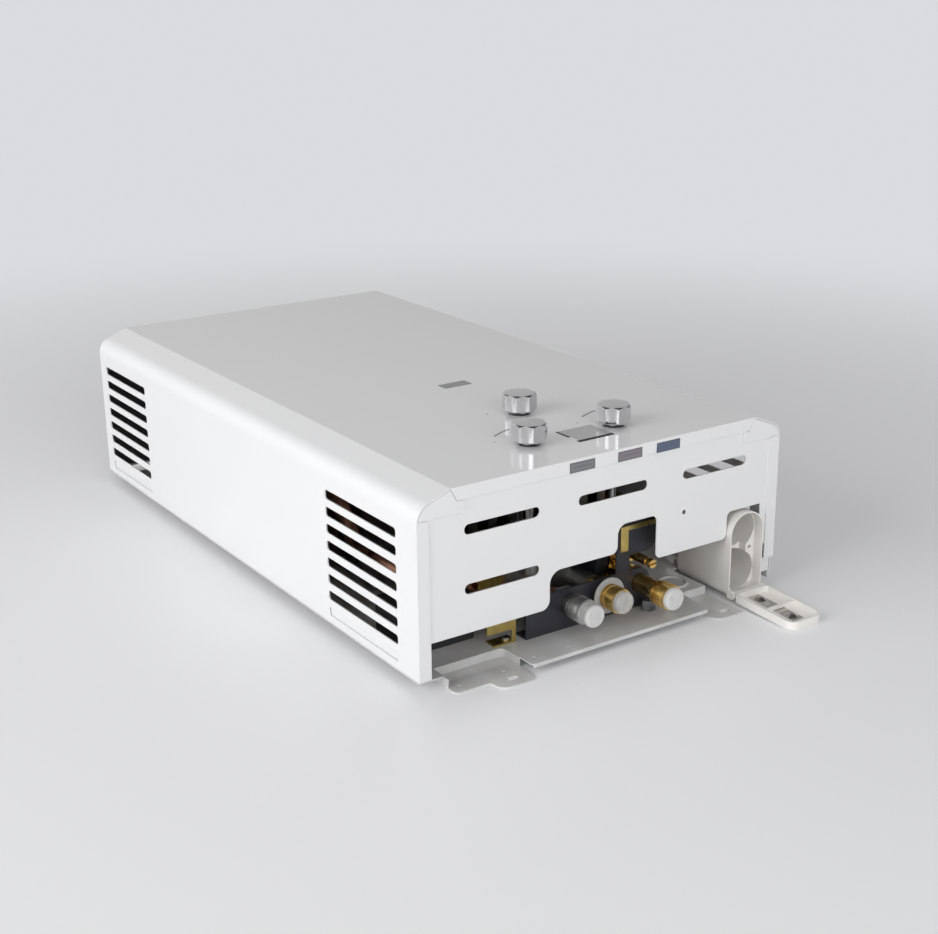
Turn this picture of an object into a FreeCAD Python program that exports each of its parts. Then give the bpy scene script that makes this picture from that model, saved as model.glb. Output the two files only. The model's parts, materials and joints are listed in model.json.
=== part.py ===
import FreeCAD, Part
import math
import os

# Tankless gas water heater, lying on its wall plate, as a bench assembly of separate pieces.
# Millimetres. X runs across the casing, Y from the connection end to the exhaust end and
# Z from the wall plane out to the front face. The origin is the centre of the four slots
# for the wall screws, in the wall plane.

V = FreeCAD.Vector

# ---------------------------------------------------------------- casing
CASE_W = 366.0            # width over the folded cover
CASE_L = 618.0            # length between the two end faces
CASE_D = 150.0            # height of the cover, from its open edge to the front face
STANDOFF = 10.0           # cover edge above the wall plane
SHEET = 1.2               # cover, panel and plate steel
BEVEL_W = 30.0            # width of the sloped long edge
BEVEL_ANGLE = 21.0        # slope of that edge below the front face, degrees
BEVEL_R = 16.0            # bend between slope and side
SEAM = 0.3                # gap along the seams of the casing
FLANGE_W = 11.0           # folded rim of the cover round both ends
FLANGE_CORNER_R = 4.0     # rounded inner top corner of a side rim
SIDE_FLANGE_TOP = 129.0   # height of the side rims above the cover edge
FLANGE_MITRE = 6.0        # slanted end of the top rim

# side louvres: two groups on each side
LOUVRE_COUNT = 8
LOUVRE_PITCH = 14.6
LOUVRE_H = 8.0
LOUVRE_L = 108.0
LOUVRE_END = 30.0         # from the end face to the first slot end
LOUVRE_FIRST_Z = 10.0     # lowest slot's middle above the cover edge
LOUVRE_R = 2.6
LOUVRE_FAR_L = 100.0
LOUVRE_FAR_END = 15.0

# end panel at the connections: heights are above the wall plane
PANEL_SLOT_L = 70.0
PANEL_SLOT_H = 8.4
PANEL_SLOT_PITCH = 108.0
PANEL_SLOT_MID_X = 2.7
PANEL_SLOT_TOP_Z = 124.0
PANEL_SLOT_LOW_Z = 75.6
PANEL_HOLE_R = 2.0
PANEL_HOLE_X = 78.3
PANEL_HOLE_Z = 91.0
LIP_LEFT_Z = 39.5         # lower edge left of the connections
BAY_X = -60.0             # the edge steps up here for the hot outlet
BAY_Z = 71.0
NOTCH_X0 = 8.0            # tall notch above the gas inlet and the drain screw
NOTCH_X1 = 49.0
NOTCH_Z = 95.0
LIP_RIGHT_Z = 56.5        # lower edge between the cold inlet and the cells
BAY_R = (8.0, 11.0)       # corners of that edge: at the step, over the hot outlet
NOTCH_R = (6.0, 9.0)
LIP_R = 5.0

# colour markers above the three connections
MARKER_W = 25.0
MARKER_H = 8.4
MARKER_X = {"hot": -30.0, "gas": 18.0, "cold": 57.7}

# exhaust end panel
VENT_COUNT = 15
VENT_PITCH = 16.0
VENT_W = 10.0
VENT_H = 34.0
VENT_Z = 84.0             # middle of the outlet rows above the wall plane
VENT_ROW_PITCH = 42.0

# wall plate
FLOOR_Z = 7.0             # underside of the raised floor above the wall plane
PLATE_LIP = 20.0          # the floor runs past the connection end
LIP_DROP = 3.2            # turned-down edge of that lip
PAD_W = 68.0              # pressed-down pad at each corner
PAD_X = 92.0              # inner edge of the pads
PAD_DEPTH = 20.0          # pad under the casing
PAD_REACH = 14.6          # pad past the end face
PAD_WALL_END = 3.0        # the pad's walls stop this far past the end face
LUG_X = 110.0             # wall-screw lugs
LUG_W = 36.0
LUG_REACH = 29.0          # lug tip past the end face
SCREW_SLOT_REACH = 18.0   # slot centre past the end face
SCREW_SLOT_L = 10.0
SCREW_SLOT_R = 2.6
PLATE_FLANGE_H = 20.0     # folded sides of the plate, inside the cover
PLATE_GAP = 3.6           # floor edge beside the pads, inside the end face
TAB_Y = 100.0             # tabs under the cover's side edges
TAB_SPAN = 20.0
TOOL_HOLE_R = 1.6
TOOL_HOLES = ((-151.0, 5.0), (-109.0, 5.0), (-84.0, 10.0), (-50.0, 11.0))   # X, past the end face
CELL_NOTCH = 5.0          # the plate is cut away this far beside the battery case
RING_PLACE = (104.0, 41.0)   # pressed ring in the floor: X, past the end face
RING_R = 12.0
RING_SECTION_R = 2.4
RING_SINK = 1.2
PAD_CORNER_R = (5.0, 4.0, 9.0)   # root, rim and lug corners of a pad

# knobs
KNOB_R = 14.8
KNOB_H = 16.0
KNOB_FACETS = 8
KNOB_CROWN = 0.5
KNOB_CHAMFER = 1.2
KNOB_FOOT = 1.0           # bevel round the underside
KNOB_FACET_R = 14.9       # corner radius of the octagon that cuts the facets
KNOB_LIFT = 2.4           # collar height under the knob
KNOB_TURN = {"gas": 0.0, "water": 0.0, "season": 22.5}   # where each knob points, degrees
COLLAR_R = 9.0
SPINDLE_R = 3.0
SPINDLE_GRIP = 12.0       # spindle inside the knob
SPINDLE_FLAT = 0.9        # depth of the flat that the knob grips
TURN_GAP = 0.3            # clearance round what turns
KNOB_PLACE = {"gas": (-43.0, 52.7), "water": (43.5, 52.7), "season": (0.3, 125.8)}   # X, past the end face

# windows in the front face
DISPLAY_W = 37.0
DISPLAY_L = 33.0
DISPLAY_PLACE = (10.5, 48.5)   # X, past the connection end face
SIGHT_W = 29.5
SIGHT_L = 14.0
SIGHT_PLACE = (5.5, 232.5)
LENS_R = 1.5              # corners of the panes and their holes
LENS_RIM = 2.5
LENS_RIM_T = 1.5
BOARD_T = 1.6
BOARD_DROP = 7.0          # board below the display lens
BOARD_MARGIN = 4.5        # board past the lens opening
GLASS_INSET = 3.0
POST_R = 2.0

# connections: axes run along Y at one height
PIPE_Z = 30.0
THREAD_R = 10.4775        # half-inch pipe thread, major radius
THREAD_L = 15.0
THREAD_RELIEF = 1.5       # groove behind the thread: width, and depth below
THREAD_RELIEF_DEPTH = 1.2
THREAD_COLLAR = 1.0       # collar left behind the groove
BORE_R = 7.0
CONNECTION = {            # X of the axis, reach of the tube end past the end face
    "hot": (-27.0, 4.0),
    "gas": (9.0, 4.0),
    "cold": (47.0, 22.0),
}
CAP_HEAD = {"hot": 12.0, "gas": 5.0, "cold": 5.0}
CAP_PLUG_L = 8.0
CAP_WALL = 1.2
CAP_ROUND = 2.0           # shoulder of the cap's head
CAP_MARGIN = 1.0          # cap radius below the thread's
PLUG_GAP = 0.05
SHANK_R = 8.0
HEX_AF = 22.0
HEX_T = 8.0
FITTING_TAIL = {"hot": 1.0, "gas": 6.0, "cold": 6.0}   # shank behind the hexagon
DISC_R = 15.5
DISC_T = 1.2

# bracket that carries the connections
BRACKET_INSET = 19.0      # its outer face behind the end face
BRACKET_T = 1.6
BRACKET_X0 = -70.0
BRACKET_X1 = 58.0
BRACKET_BAR_Z = 43.0      # top of the part round the connections
BRACKET_NECK = (22.0, 36.0)
BRACKET_HEAD = (67.0, 57.0, 85.0)   # plate above the neck: x1, z0, z1
BRACKET_R = (8.0, 12.0, 14.0)   # corners: bar left, bar right, head
BRACKET_FOOT = 14.0
BRACKET_SCREW_X = (-9.0, 28.0)
GUARD_X = (25.0, 33.0, 66.0)   # chromated guard: post and end of its band
GUARD_Z = (62.0, 80.0, 84.0)   # foot of the post, band

# water valve: its housing is split across X
VALVE_INSET = 73.0        # its axis behind the connection end face
VALVE_Z = 47.0
HOUSING_R = 29.0
HOUSING_T = 13.0          # thickness of each half
HOUSING_X = 34.0          # parting plane on the gas side of the rubber
HOUSING_EAR_R = 5.5
HOUSING_EAR_T = 4.0
CHAMBER_R = 22.0
RUBBER_R = 25.0
RUBBER_T = 1.6
BEAD_R = 17.0
BEAD_SECTION_R = 1.2
SPIGOT_R = 7.5
SPIGOT_L = 6.0
INLET_BOSS_R = 11.0
INLET_DEPTH = 16.0        # water way inside the inlet boss
OUTLET_BOSS_L = 16.0
SPINDLE_BOSS_R = 7.5
SPINDLE_BOSS_H = 10.0     # boss above the valve that the spindle turns in
SPINDLE_DEPTH = 8.0
DRAIN_R = 3.8
DRAIN_Z = 52.0
DRAIN_INSET = 2.0         # tip inside the end face
DRAIN_L = 40.0
DRAIN_SLOT = 1.4
DRAIN_SLOT_DEPTH = 2.5
DRAIN_GRIP = 12.0         # length inside the valve
DRAIN_WALL = 3.0
DRAIN_NECK = 0.9

# water-flow interlock: diaphragm, thrust pin, switch lever
PIN_R = 1.5
PIN_PLAY = 0.05
PIN_TRAVEL = 3.0
PIN_DEPTH = 12.0          # pin inside the gas valve
PIN_DISC_R = 4.0
PIN_DISC_T = 1.6
PIN_DISC_X = 10.0
PLATE_R = 20.0
PLATE_T = 2.0
SWITCH_L = 22.0
SWITCH_W = 12.0
SWITCH_H = 8.0
LEVER_T = 0.6
LEVER_W = 5.0
LEVER_DROP = 1.4          # lever pivot below the switch
LEVER_PIN_R = 0.5
LEVER_LAP = 2.0           # lever overlaps the disc by this
LEVER_EAR_T = 1.2
LEVER_EAR_W = 3.2

# gas valve
GAS_X0, GAS_X1 = -62.0, 4.0
GAS_INSET = 57.0          # its near face behind the connection end face
GAS_L = 40.0
GAS_Z0, GAS_Z1 = 19.0, 70.0
GAS_ELBOW_R = 10.0
GAS_BOSS_R = 9.0
GAS_CHAMFER = 4.0
SOLENOID_R = 11.0
SOLENOID_L = 30.0
SOLENOID_CAP_L = 6.0

# burner
MANIFOLD_INSET = 119.0    # its middle behind the connection end face
MANIFOLD_Z = 42.0
MANIFOLD_H = 20.0
MANIFOLD_W = 14.0
MANIFOLD_END = 9.0        # manifold past the outer jets
MANIFOLD_EDGE_R = 3.0
MANIFOLD_LEG_T = 2.0
DUCT_W = 24.0
DUCT_H = 16.0
DUCT_X = -28.0
JET_R = 3.0
JET_L = 10.0
BURNER_COUNT = 11
BURNER_PITCH = 20.0
BURNER_T = 9.0
BURNER_L = 92.0
BURNER_Z0 = 28.0
BURNER_H = 76.0
BURNER_GAP = 1.0          # jet tip to burner mouth
BURNER_R = 8.0
MOUTH_R = 3.6
MOUTH_L = 36.0
PORT_W = 2.0
PORT_DEPTH = 4.0
PORT_END = 10.0
RAIL_T = 1.6
RAIL_L = 10.0
RAIL_Y = 30.0
RAIL_INSET = 4.0
CHEEK_GAP = 3.0           # side cheeks beside the outer burners
CHEEK_INSET = 12.0
FOOT_L = 12.0             # screw feet of cheeks and saddles
FOOT_W = 16.0

# heat exchanger
CORE_X = 122.0            # half width of the combustion chamber
CORE_GAP = 4.0            # chamber past the burner ends
CORE_L = 150.0
CORE_Z0 = 24.0
CORE_Z1 = 124.0
COPPER_T = 0.8
FIN_COUNT = 16
FIN_T = 1.6
FIN_L = 46.0
TUBE_R = 7.0
TUBE_BEND = 13.0
TUBE_PASSES = 4
PASS_PITCH = 27.0
TURN_OUT = 2.0            # straight tube between the fins and a return bend
WRAP_Y = 60.0             # wrapped turn past the chamber's open end
JOG_Y = (106.0, 136.0)    # the tube steps outwards between these, from the same end
JOINT_NEAR = 209.0        # union with the cold pipe, behind the connection end face
JOINT_FAR = 349.0         # union with the hot pipe
SADDLE_W = 24.0
SADDLE_L = 190.0          # length of the saddles across X
SADDLE_INSET = (14.0, 8.0)  # past the ends of chamber and fins

# hot pipe
HOT_LEVEL_Z = 64.0        # height over the igniter
HOT_ELBOW_INSET = 44.0    # behind the connection end face
HOT_RISE_X = (-70.0, -112.0)
HOT_CLIMB = (159.0, 199.0)   # from the same face
HOT_BEND = 12.0

# union nuts
UNION_AF = 23.0
UNION_T = 12.0

# exhaust hood
HOOD_T = 1.0
HOOD_OUT_W = 250.0
HOOD_OUT_Z0 = 44.0
HOOD_OUT_Z1 = 128.0

# ignition
IGNITER_W = 58.0
IGNITER_L = 62.0
IGNITER_H = 30.0
IGNITER_INSET = 78.0      # its middle behind the connection end face
IGNITER_GAP = 2.0         # beside the solenoid
GOLD_X0 = -113.5          # angle bracket in front of the igniter
GOLD_INSET = 22.0
GOLD_TOP_Z = 76.0
GOLD_W = 25.0
GOLD_BAR_X0 = -106.0
GOLD_BAR_Z = (20.0, 40.0)   # bar at its lower edge, out to the leg
GOLD_LEG_W = 4.0
GOLD_FOOT_X1 = -78.0
GOLD_FOOT_W = 12.0
IGNITER_CHAMFER = 2.0
IGNITER_EDGE_R = 4.0
ELECTRODE_X = (-28.0, 28.0)
CERAMIC_R = 3.2
CERAMIC_L = 34.0
NEEDLE_R = 1.0
NEEDLE_L = 12.0
ELECTRODE_Y = 10.0        # past the chamber's open end
CERAMIC_RISE = 14.0       # above the chamber
FLANGE_R = 6.0
FLANGE_T = 2.0
CUTOUT_R = 8.0
CUTOUT_H = 7.0
CUTOUT_STEP = 2.0
CUTOUT_POS = (60.0, 106.0)  # X, and Y past the chamber's open end
LEAD_R = 1.5
LEAD_BEND = 15.0
LEAD_TIP_BEND = 6.5
LEAD_TOP_Z = 145.0
LEAD_DISPLAY_Z = 118.0
LEAD_SWITCH_Z = 74.0
LEAD_PLACE = {"ignition": (-120.0, 81.0), "display": (-126.0, 64.0), "switch": (-114.0, 73.0)}

# screws
SCREW_R = 2.0
SCREW_HEAD_R = 3.8
SCREW_HEAD_H = 2.2
SCREW_L = 9.0
RIM_SCREW_Z = (45.0, 120.0)
STUD_AF = 11.0
STUD_H = 9.0
STUD_PLACE = (50.0, 10.0)

# battery case for two D cells, side by side across Z
CELL_R = 17.1
CELL_GAP = 0.3
CELL_PITCH = 37.4
CELL_DEPTH = 64.0
CASE_WALL = 1.4
BOX_SIDE = 18.1           # from the side of the cover to the battery case
BOX_LIFT = 3.0            # its lower face above the wall plane
BOX_REACH = 4.6           # its rim past the end face
BOX_ARCH_R = 18.0         # its arched top
BOX_FOOT_R = 8.0          # its lower corners
CELL_HEADROOM = 2.4       # opening of the panel above the case
STRIP_END_Z = 42.3        # lower end of the panel beside the case
RIM_END_Z = 28.0          # the cover's rim stops here above the plate's tab
RIM_END_L = 3.0           # and so does the side behind it
SIDE_TAB = (13.5, 14.0)   # the tab: its width and lower edge
LATCH_SLIT = (1.0, 15.4, 34.6, 0.6)   # slit in the case's side: width, height, start, depth
DOOR_T = 7.0
DOOR_FLOOR = 1.8
DOOR_CORNER_R = 9.0
HINGE_PIN_R = 1.5
HINGE_PLAY = 0.05
EAR_R = 3.2
EAR_W = 4.0
CASE_RIM = 1.0
CASE_RIM_DEPTH = 10.0
EAR_DEPTH = 2.2           # hinge ears inside the mouth
CASE_WEB_W = 17.0         # opening between the two cell bores at their mouth
CASE_WEB_DEPTH = 18.0
CASE_HOLE_R = 1.7
CASE_HOLE_X = 13.1        # from the middle
CASE_HOLE_DEPTH = 20.0
TAB_W = 22.0
TAB_L = 14.0
TAB_T = 3.0
DOOR_WALL = 1.8
DOOR_DROOP = 2.4          # the open door hangs below level until its tip meets the bench, degrees
DOOR_ROOT_R = 3.0
RIB_T = 2.0
RIB_DROP = 1.2
CONTACT_T = 0.5
CONTACT_W = 12.0
CONTACT_END = 8.0
DOME_R = 2.0
DOME_H = 2.4
CELL_CONTACT_R = 9.0
SPRING_R = 7.0
SPRING_TIP_R = 3.0

# ---------------------------------------------------------------- worked out from these
HALF_W = CASE_W / 2
Y_NEAR = -CASE_L / 2
Y_FAR = CASE_L / 2
FRONT_Z = STANDOFF + CASE_D
FLOOR_TOP = FLOOR_Z + SHEET
INSIDE_Z = FRONT_Z - SHEET
KNOB_POS = {name: (x, Y_NEAR + past) for name, (x, past) in KNOB_PLACE.items()}
DISPLAY_POS = (DISPLAY_PLACE[0], Y_NEAR + DISPLAY_PLACE[1])
SIGHT_POS = (SIGHT_PLACE[0], Y_NEAR + SIGHT_PLACE[1])
STUD_POS = (STUD_PLACE[0], Y_NEAR + STUD_PLACE[1])
LEAD_END = {name: (x, Y_NEAR + past) for name, (x, past) in LEAD_PLACE.items()}
BRACKET_Y = Y_NEAR + BRACKET_INSET
GOLD_Y = Y_NEAR + GOLD_INSET
VALVE_Y = Y_NEAR + VALVE_INSET
GAS_Y0 = Y_NEAR + GAS_INSET
GAS_Y1 = GAS_Y0 + GAS_L
MANIFOLD_Y = Y_NEAR + MANIFOLD_INSET
JOINT_NEAR_Y = Y_NEAR + JOINT_NEAR
JOINT_FAR_Y = Y_NEAR + JOINT_FAR
HOT_ELBOW_Y = Y_NEAR + HOT_ELBOW_INSET
IGNITER_X1 = GAS_X0 - SOLENOID_L - SOLENOID_CAP_L - IGNITER_GAP
IGNITER_POS = (IGNITER_X1 - IGNITER_W / 2, Y_NEAR + IGNITER_INSET)
BOX_W = 2 * (CELL_R + CELL_GAP + CASE_WALL)
BOX_X = HALF_W - BOX_SIDE - BOX_W / 2
BOX_H = BOX_W + CELL_PITCH
BOX_Z0 = BOX_LIFT
BOX_Z1 = BOX_Z0 + BOX_H
BOX_Y0 = Y_NEAR - BOX_REACH
BOX_Y1 = BOX_Y0 + CELL_DEPTH + CASE_WALL
CELL_Z = (BOX_Z0 + BOX_H / 2 - CELL_PITCH / 2, BOX_Z0 + BOX_H / 2 + CELL_PITCH / 2)
HINGE_Z = BOX_Z0 + DOOR_T / 2
HINGE_Y = BOX_Y0 - TURN_GAP - DOOR_T / 2
EAR_X = BOX_W / 2 - EAR_W
DOOR_ROOT_Y = HINGE_Y - EAR_R - TURN_GAP
DOOR_TIP_Y = HINGE_Y - (BOX_Z1 - HINGE_Z)
KNOB_Z = FRONT_Z + KNOB_LIFT + TURN_GAP
FITTING_BACK = {name: BRACKET_Y + BRACKET_T + HEX_T + tail for name, tail in FITTING_TAIL.items()}
WATER_BOSS_TOP = VALVE_Z + HOUSING_R + SPINDLE_BOSS_H
GAS_BOSS_TOP = GAS_Z1 + SPINDLE_BOSS_H
SEASON_BOSS_TOP = MANIFOLD_Z + MANIFOLD_H / 2 + SPINDLE_BOSS_H
LEVER_X = PIN_DISC_X - TURN_GAP - LEVER_T / 2
LEVER_Z = GAS_Z1 - LEVER_DROP
BURNER_Y = MANIFOLD_Y + MANIFOLD_W / 2 + JET_L + BURNER_GAP
CHEEK_X = (BURNER_COUNT - 1) / 2 * BURNER_PITCH + BURNER_T / 2 + CHEEK_GAP
CORE_Y0 = BURNER_Y + BURNER_L + CORE_GAP
FIN_Y0 = CORE_Y0 + CORE_L
PASS_Y = FIN_Y0 + FIN_L / 2
PASS_Z = [(CORE_Z0 + CORE_Z1) / 2 + (k - (TUBE_PASSES - 1) / 2) * PASS_PITCH
          for k in range(TUBE_PASSES)]
WRAP_X = CORE_X + TUBE_R + SEAM
TURN_X = CORE_X + TUBE_BEND + TURN_OUT
HOT_X = WRAP_X + 2 * TUBE_R + TURN_OUT
DISPLAY_LOW = FRONT_Z - SHEET - LENS_RIM_T - BOARD_DROP
IGNITER_TOP = FLOOR_TOP + IGNITER_H

PARTS = {}


# ---------------------------------------------------------------- drawing helpers
def box(x0, x1, y0, y1, z0, z1):
    """Block between two corners."""
    return Part.makeBox(x1 - x0, y1 - y0, z1 - z0, V(x0, y0, z0))


def rod(radius, start, axis, length):
    """Round bar from start along axis."""
    return Part.makeCylinder(radius, length, V(*start), V(*axis))


def washer(outer, inner, start, axis, length):
    """Round bar with a through hole."""
    return rod(outer, start, axis, length).cut(rod(inner, start, axis, length))


def rounded_wire(corners, place):
    """Closed outline through (u, v, radius) corners; place() maps (u, v) into space."""
    ends = []
    count = len(corners)
    for i, (u, v, radius) in enumerate(corners):
        here = V(u, v, 0)
        if not radius:
            ends.append((here, None, here))
            continue
        back = (V(*corners[i - 1][:2]) - here).normalize()
        ahead = (V(*corners[(i + 1) % count][:2]) - here).normalize()
        half = back.getAngle(ahead) / 2
        centre = here + (back + ahead).normalize() * (radius / math.sin(half))
        reach = radius / math.tan(half)
        middle = centre + (here - centre).normalize() * radius
        ends.append((here + back * reach, middle, here + ahead * reach))
    edges = []
    for i, (start, middle, end) in enumerate(ends):
        before = ends[i - 1][2]
        if before.distanceToPoint(start) > 1e-6:
            edges.append(Part.LineSegment(place(*before[:2]), place(*start[:2])).toShape())
        if middle is not None:
            bend = Part.Arc(place(*start[:2]), place(*middle[:2]), place(*end[:2]))
            edges.append(bend.toShape())
    return Part.Wire(edges)


def across_y(corners, y, depth):
    """Prism whose outline lies in X and Z, from y along +Y."""
    wire = rounded_wire(corners, lambda u, v: V(u, y, v))
    return Part.Face(wire).extrude(V(0, depth, 0))


def across_z(corners, z, depth):
    """Prism whose outline lies in X and Y, from z along +Z."""
    wire = rounded_wire(corners, lambda u, v: V(u, v, z))
    return Part.Face(wire).extrude(V(0, 0, depth))


def across_x(corners, x, depth):
    """Prism whose outline lies in Y and Z, from x along +X."""
    wire = rounded_wire(corners, lambda u, v: V(x, u, v))
    return Part.Face(wire).extrude(V(depth, 0, 0))


def frame_corners(u, v, width, height, radius):
    """Corners of a rounded rectangle about its middle."""
    a, b = width / 2, height / 2
    return [(u - a, v - b, radius), (u + a, v - b, radius),
            (u + a, v + b, radius), (u - a, v + b, radius)]


def hexagon(across_flats, start, depth):
    """Hexagonal bar along +Y."""
    x, y, z = start
    r = across_flats / math.sqrt(3)
    corners = [(x + r * math.cos(math.radians(60 * k)), z + r * math.sin(math.radians(60 * k)), 0)
               for k in range(6)]
    return across_y(corners, y, depth)


def pipe(points, radius, bend):
    """Round bar that follows straight runs joined by tangent arcs."""
    knots = [V(*p) for p in points]
    edges = []
    start = knots[0]
    for before, here, after in zip(knots, knots[1:], knots[2:]):
        back = (before - here).normalize()
        ahead = (after - here).normalize()
        half = back.getAngle(ahead) / 2
        reach = bend / math.tan(half)
        centre = here + (back + ahead).normalize() * (bend / math.sin(half))
        enter, leave = here + back * reach, here + ahead * reach
        middle = centre + (here - centre).normalize() * bend
        edges.append(Part.LineSegment(start, enter).toShape())
        edges.append(Part.Arc(enter, middle, leave).toShape())
        start = leave
    edges.append(Part.LineSegment(start, knots[-1]).toShape())
    path = Part.Wire(edges)
    section = Part.Wire(Part.makeCircle(radius, knots[0], knots[1] - knots[0]))
    return path.makePipeShell([section], True, False)


def fuse(shapes):
    """One solid from overlapping shapes, with merged faces."""
    first, rest = shapes[0], shapes[1:]
    return first.multiFuse(rest).removeSplitter() if rest else first


def keep(name, shape):
    """Registers a finished piece under its node name."""
    PARTS[name] = shape


# ---------------------------------------------------------------- cover and end panels
def casing_profile(inset, low):
    """Section of the cover across Y, moved inwards by inset, down to the height low."""
    slope = math.radians(BEVEL_ANGLE)
    side = HALF_W - inset
    top = FRONT_Z - inset
    crease = HALF_W - BEVEL_W - inset * math.tan(slope / 2)
    shoulder = top - (side - crease) * math.tan(slope)
    bend = BEVEL_R - inset
    return [(-side, low, 0), (side, low, 0), (side, shoulder, bend), (crease, top, 0),
            (-crease, top, 0), (-side, shoulder, bend)]


def end_rims(y, depth, grow):
    """Folded rims of the cover round one end, as cutters grown by the seam gap."""
    low = STANDOFF - 5
    rim_top = STANDOFF + SIDE_FLANGE_TOP + grow
    inner = HALF_W - FLANGE_W - grow
    outer = HALF_W + 5
    crease = HALF_W - BEVEL_W + grow
    under = FRONT_Z - FLANGE_W - grow
    rims = [across_y([(crease, FRONT_Z + 5, 0), (-crease, FRONT_Z + 5, 0), (-crease, FRONT_Z, 0),
                      (-crease + FLANGE_MITRE, under, 0), (crease - FLANGE_MITRE, under, 0),
                      (crease, FRONT_Z, 0)], y, depth)]
    for side in (-1, 1):
        rims.append(across_y([(side * outer, low, 0), (side * inner, low, 0),
                              (side * inner, rim_top, FLANGE_CORNER_R),
                              (side * outer, rim_top, 0)], y, depth))
    return rims


def louvre_cutters():
    """Rounded slots of the four louvre groups."""
    groups = [(Y_NEAR + LOUVRE_END, LOUVRE_L), (Y_FAR - LOUVRE_FAR_END - LOUVRE_FAR_L, LOUVRE_FAR_L)]
    cutters = []
    for start, length in groups:
        for row in range(LOUVRE_COUNT):
            z = STANDOFF + LOUVRE_FIRST_Z + row * LOUVRE_PITCH
            corners = frame_corners(start + length / 2, z, length, LOUVRE_H, LOUVRE_R)
            for side in (-HALF_W - SHEET, HALF_W - 2 * SHEET):
                cutters.append(across_x(corners, side, 3 * SHEET))
    return cutters


def marker_corners(name, grow):
    """Outline of one colour marker's notch in the top rim."""
    low = FRONT_Z - FLANGE_W
    half = MARKER_W / 2 + grow
    x = MARKER_X[name]
    return [(x - half, low, 0), (x + half, low, 0),
            (x + half, low + MARKER_H + grow, 0), (x - half, low + MARKER_H + grow, 0)]


def front_cover():
    """Folded front cover: front face, sloped edges, louvred sides and end rims."""
    shell = across_y(casing_profile(0, STANDOFF), Y_NEAR, CASE_L)
    low = STANDOFF - 1
    shell = shell.cut(across_y(casing_profile(SHEET, low), Y_NEAR + SHEET, CASE_L - 2 * SHEET))
    for y in (Y_NEAR - 1, Y_FAR - SHEET):
        mouth = across_y(casing_profile(SHEET, low), y, SHEET + 1)
        for rim in end_rims(y - 1, SHEET + 3, 0):
            mouth = mouth.cut(rim)
        shell = shell.cut(mouth)
    cutters = louvre_cutters()
    for x, y in KNOB_POS.values():
        cutters.append(rod(SPINDLE_R + 2 * TURN_GAP + SHEET, (x, y, INSIDE_Z - 1), (0, 0, 1), 5))
    for (x, y), width, length in ((DISPLAY_POS, DISPLAY_W, DISPLAY_L), (SIGHT_POS, SIGHT_W, SIGHT_L)):
        cutters.append(across_z(frame_corners(x, y, width, length, LENS_R), INSIDE_Z - 1, 5))
    for name in MARKER_X:
        cutters.append(across_y(marker_corners(name, 0), Y_NEAR - 1, SHEET + 1))
    cutters += rim_holes()
    cutters.append(box(HALF_W - FLANGE_W - 1, HALF_W + 1, Y_NEAR - 1, Y_NEAR + RIM_END_L, 0, RIM_END_Z))
    return shell.cut(Part.makeCompound(cutters))


def rim_holes():
    """Holes for the screws through the rims at the exhaust end."""
    return [rod(SCREW_R + PIN_PLAY, (x, Y_FAR - SCREW_L, z), (0, 1, 0), 2 * SCREW_L) for x, z in rim_screws()]


def end_panel_blank(y_rim, y_plate):
    """Plate behind the rims of one end, with raised corners that lie flush between them."""
    inset = SHEET + SEAM
    plate = across_y(casing_profile(inset, STANDOFF), y_plate, SHEET)
    corners = across_y(casing_profile(inset, STANDOFF), y_rim, SHEET)
    inner = HALF_W - BEVEL_W
    top = STANDOFF + SIDE_FLANGE_TOP
    middle = box(-inner + 2 * FLANGE_MITRE, inner - 2 * FLANGE_MITRE, y_rim - 1, y_rim + SHEET + 1,
                 0, FRONT_Z + 1)
    below = box(-HALF_W, HALF_W, y_rim - 1, y_rim + SHEET + 1, 0, top)
    corners = corners.cut(middle).cut(below)
    for rim in end_rims(y_rim - 1, SHEET + 2, SEAM):
        corners = corners.cut(rim)
    return fuse([plate] + corners.Solids)


def inlet_panel():
    """Panel round the connections, with air slots, the stepped lower edge and the cell opening."""
    panel = end_panel_blank(Y_NEAR, Y_NEAR + SHEET)
    cell_x0 = BOX_X - BOX_W / 2 - SEAM
    cell_x1 = BOX_X + BOX_W / 2 + SEAM
    cell_z = BOX_Z1 + CELL_HEADROOM
    low = -STANDOFF
    edge = [(-CASE_W, low, 0), (-CASE_W, LIP_LEFT_Z, 0), (BAY_X, LIP_LEFT_Z, BAY_R[0]),
            (BAY_X, BAY_Z, BAY_R[1]), (NOTCH_X0, BAY_Z, NOTCH_R[0]), (NOTCH_X0, NOTCH_Z, NOTCH_R[1]),
            (NOTCH_X1, NOTCH_Z, NOTCH_R[0]), (NOTCH_X1, LIP_RIGHT_Z, LIP_R), (cell_x0, LIP_RIGHT_Z, LIP_R),
            (cell_x0, cell_z, LIP_R), (cell_x1, cell_z, 0), (cell_x1, STRIP_END_Z, 0),
            (CASE_W, STRIP_END_Z, 0), (CASE_W, low, 0)]
    cutters = [across_y(edge, Y_NEAR - 1, 4 * SHEET)]
    slots = [(PANEL_SLOT_MID_X + k * PANEL_SLOT_PITCH, PANEL_SLOT_TOP_Z) for k in (-1, 0, 1)]
    slots.append((PANEL_SLOT_MID_X - PANEL_SLOT_PITCH, PANEL_SLOT_LOW_Z))
    for x, z in slots:
        corners = frame_corners(x, z, PANEL_SLOT_L, PANEL_SLOT_H, PANEL_SLOT_H * 0.49)
        cutters.append(across_y(corners, Y_NEAR - 1, 4 * SHEET))
    cutters.append(rod(PANEL_HOLE_R, (PANEL_HOLE_X, Y_NEAR - 1, PANEL_HOLE_Z), (0, 1, 0), 4 * SHEET))
    return panel.cut(Part.makeCompound(cutters))


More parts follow.
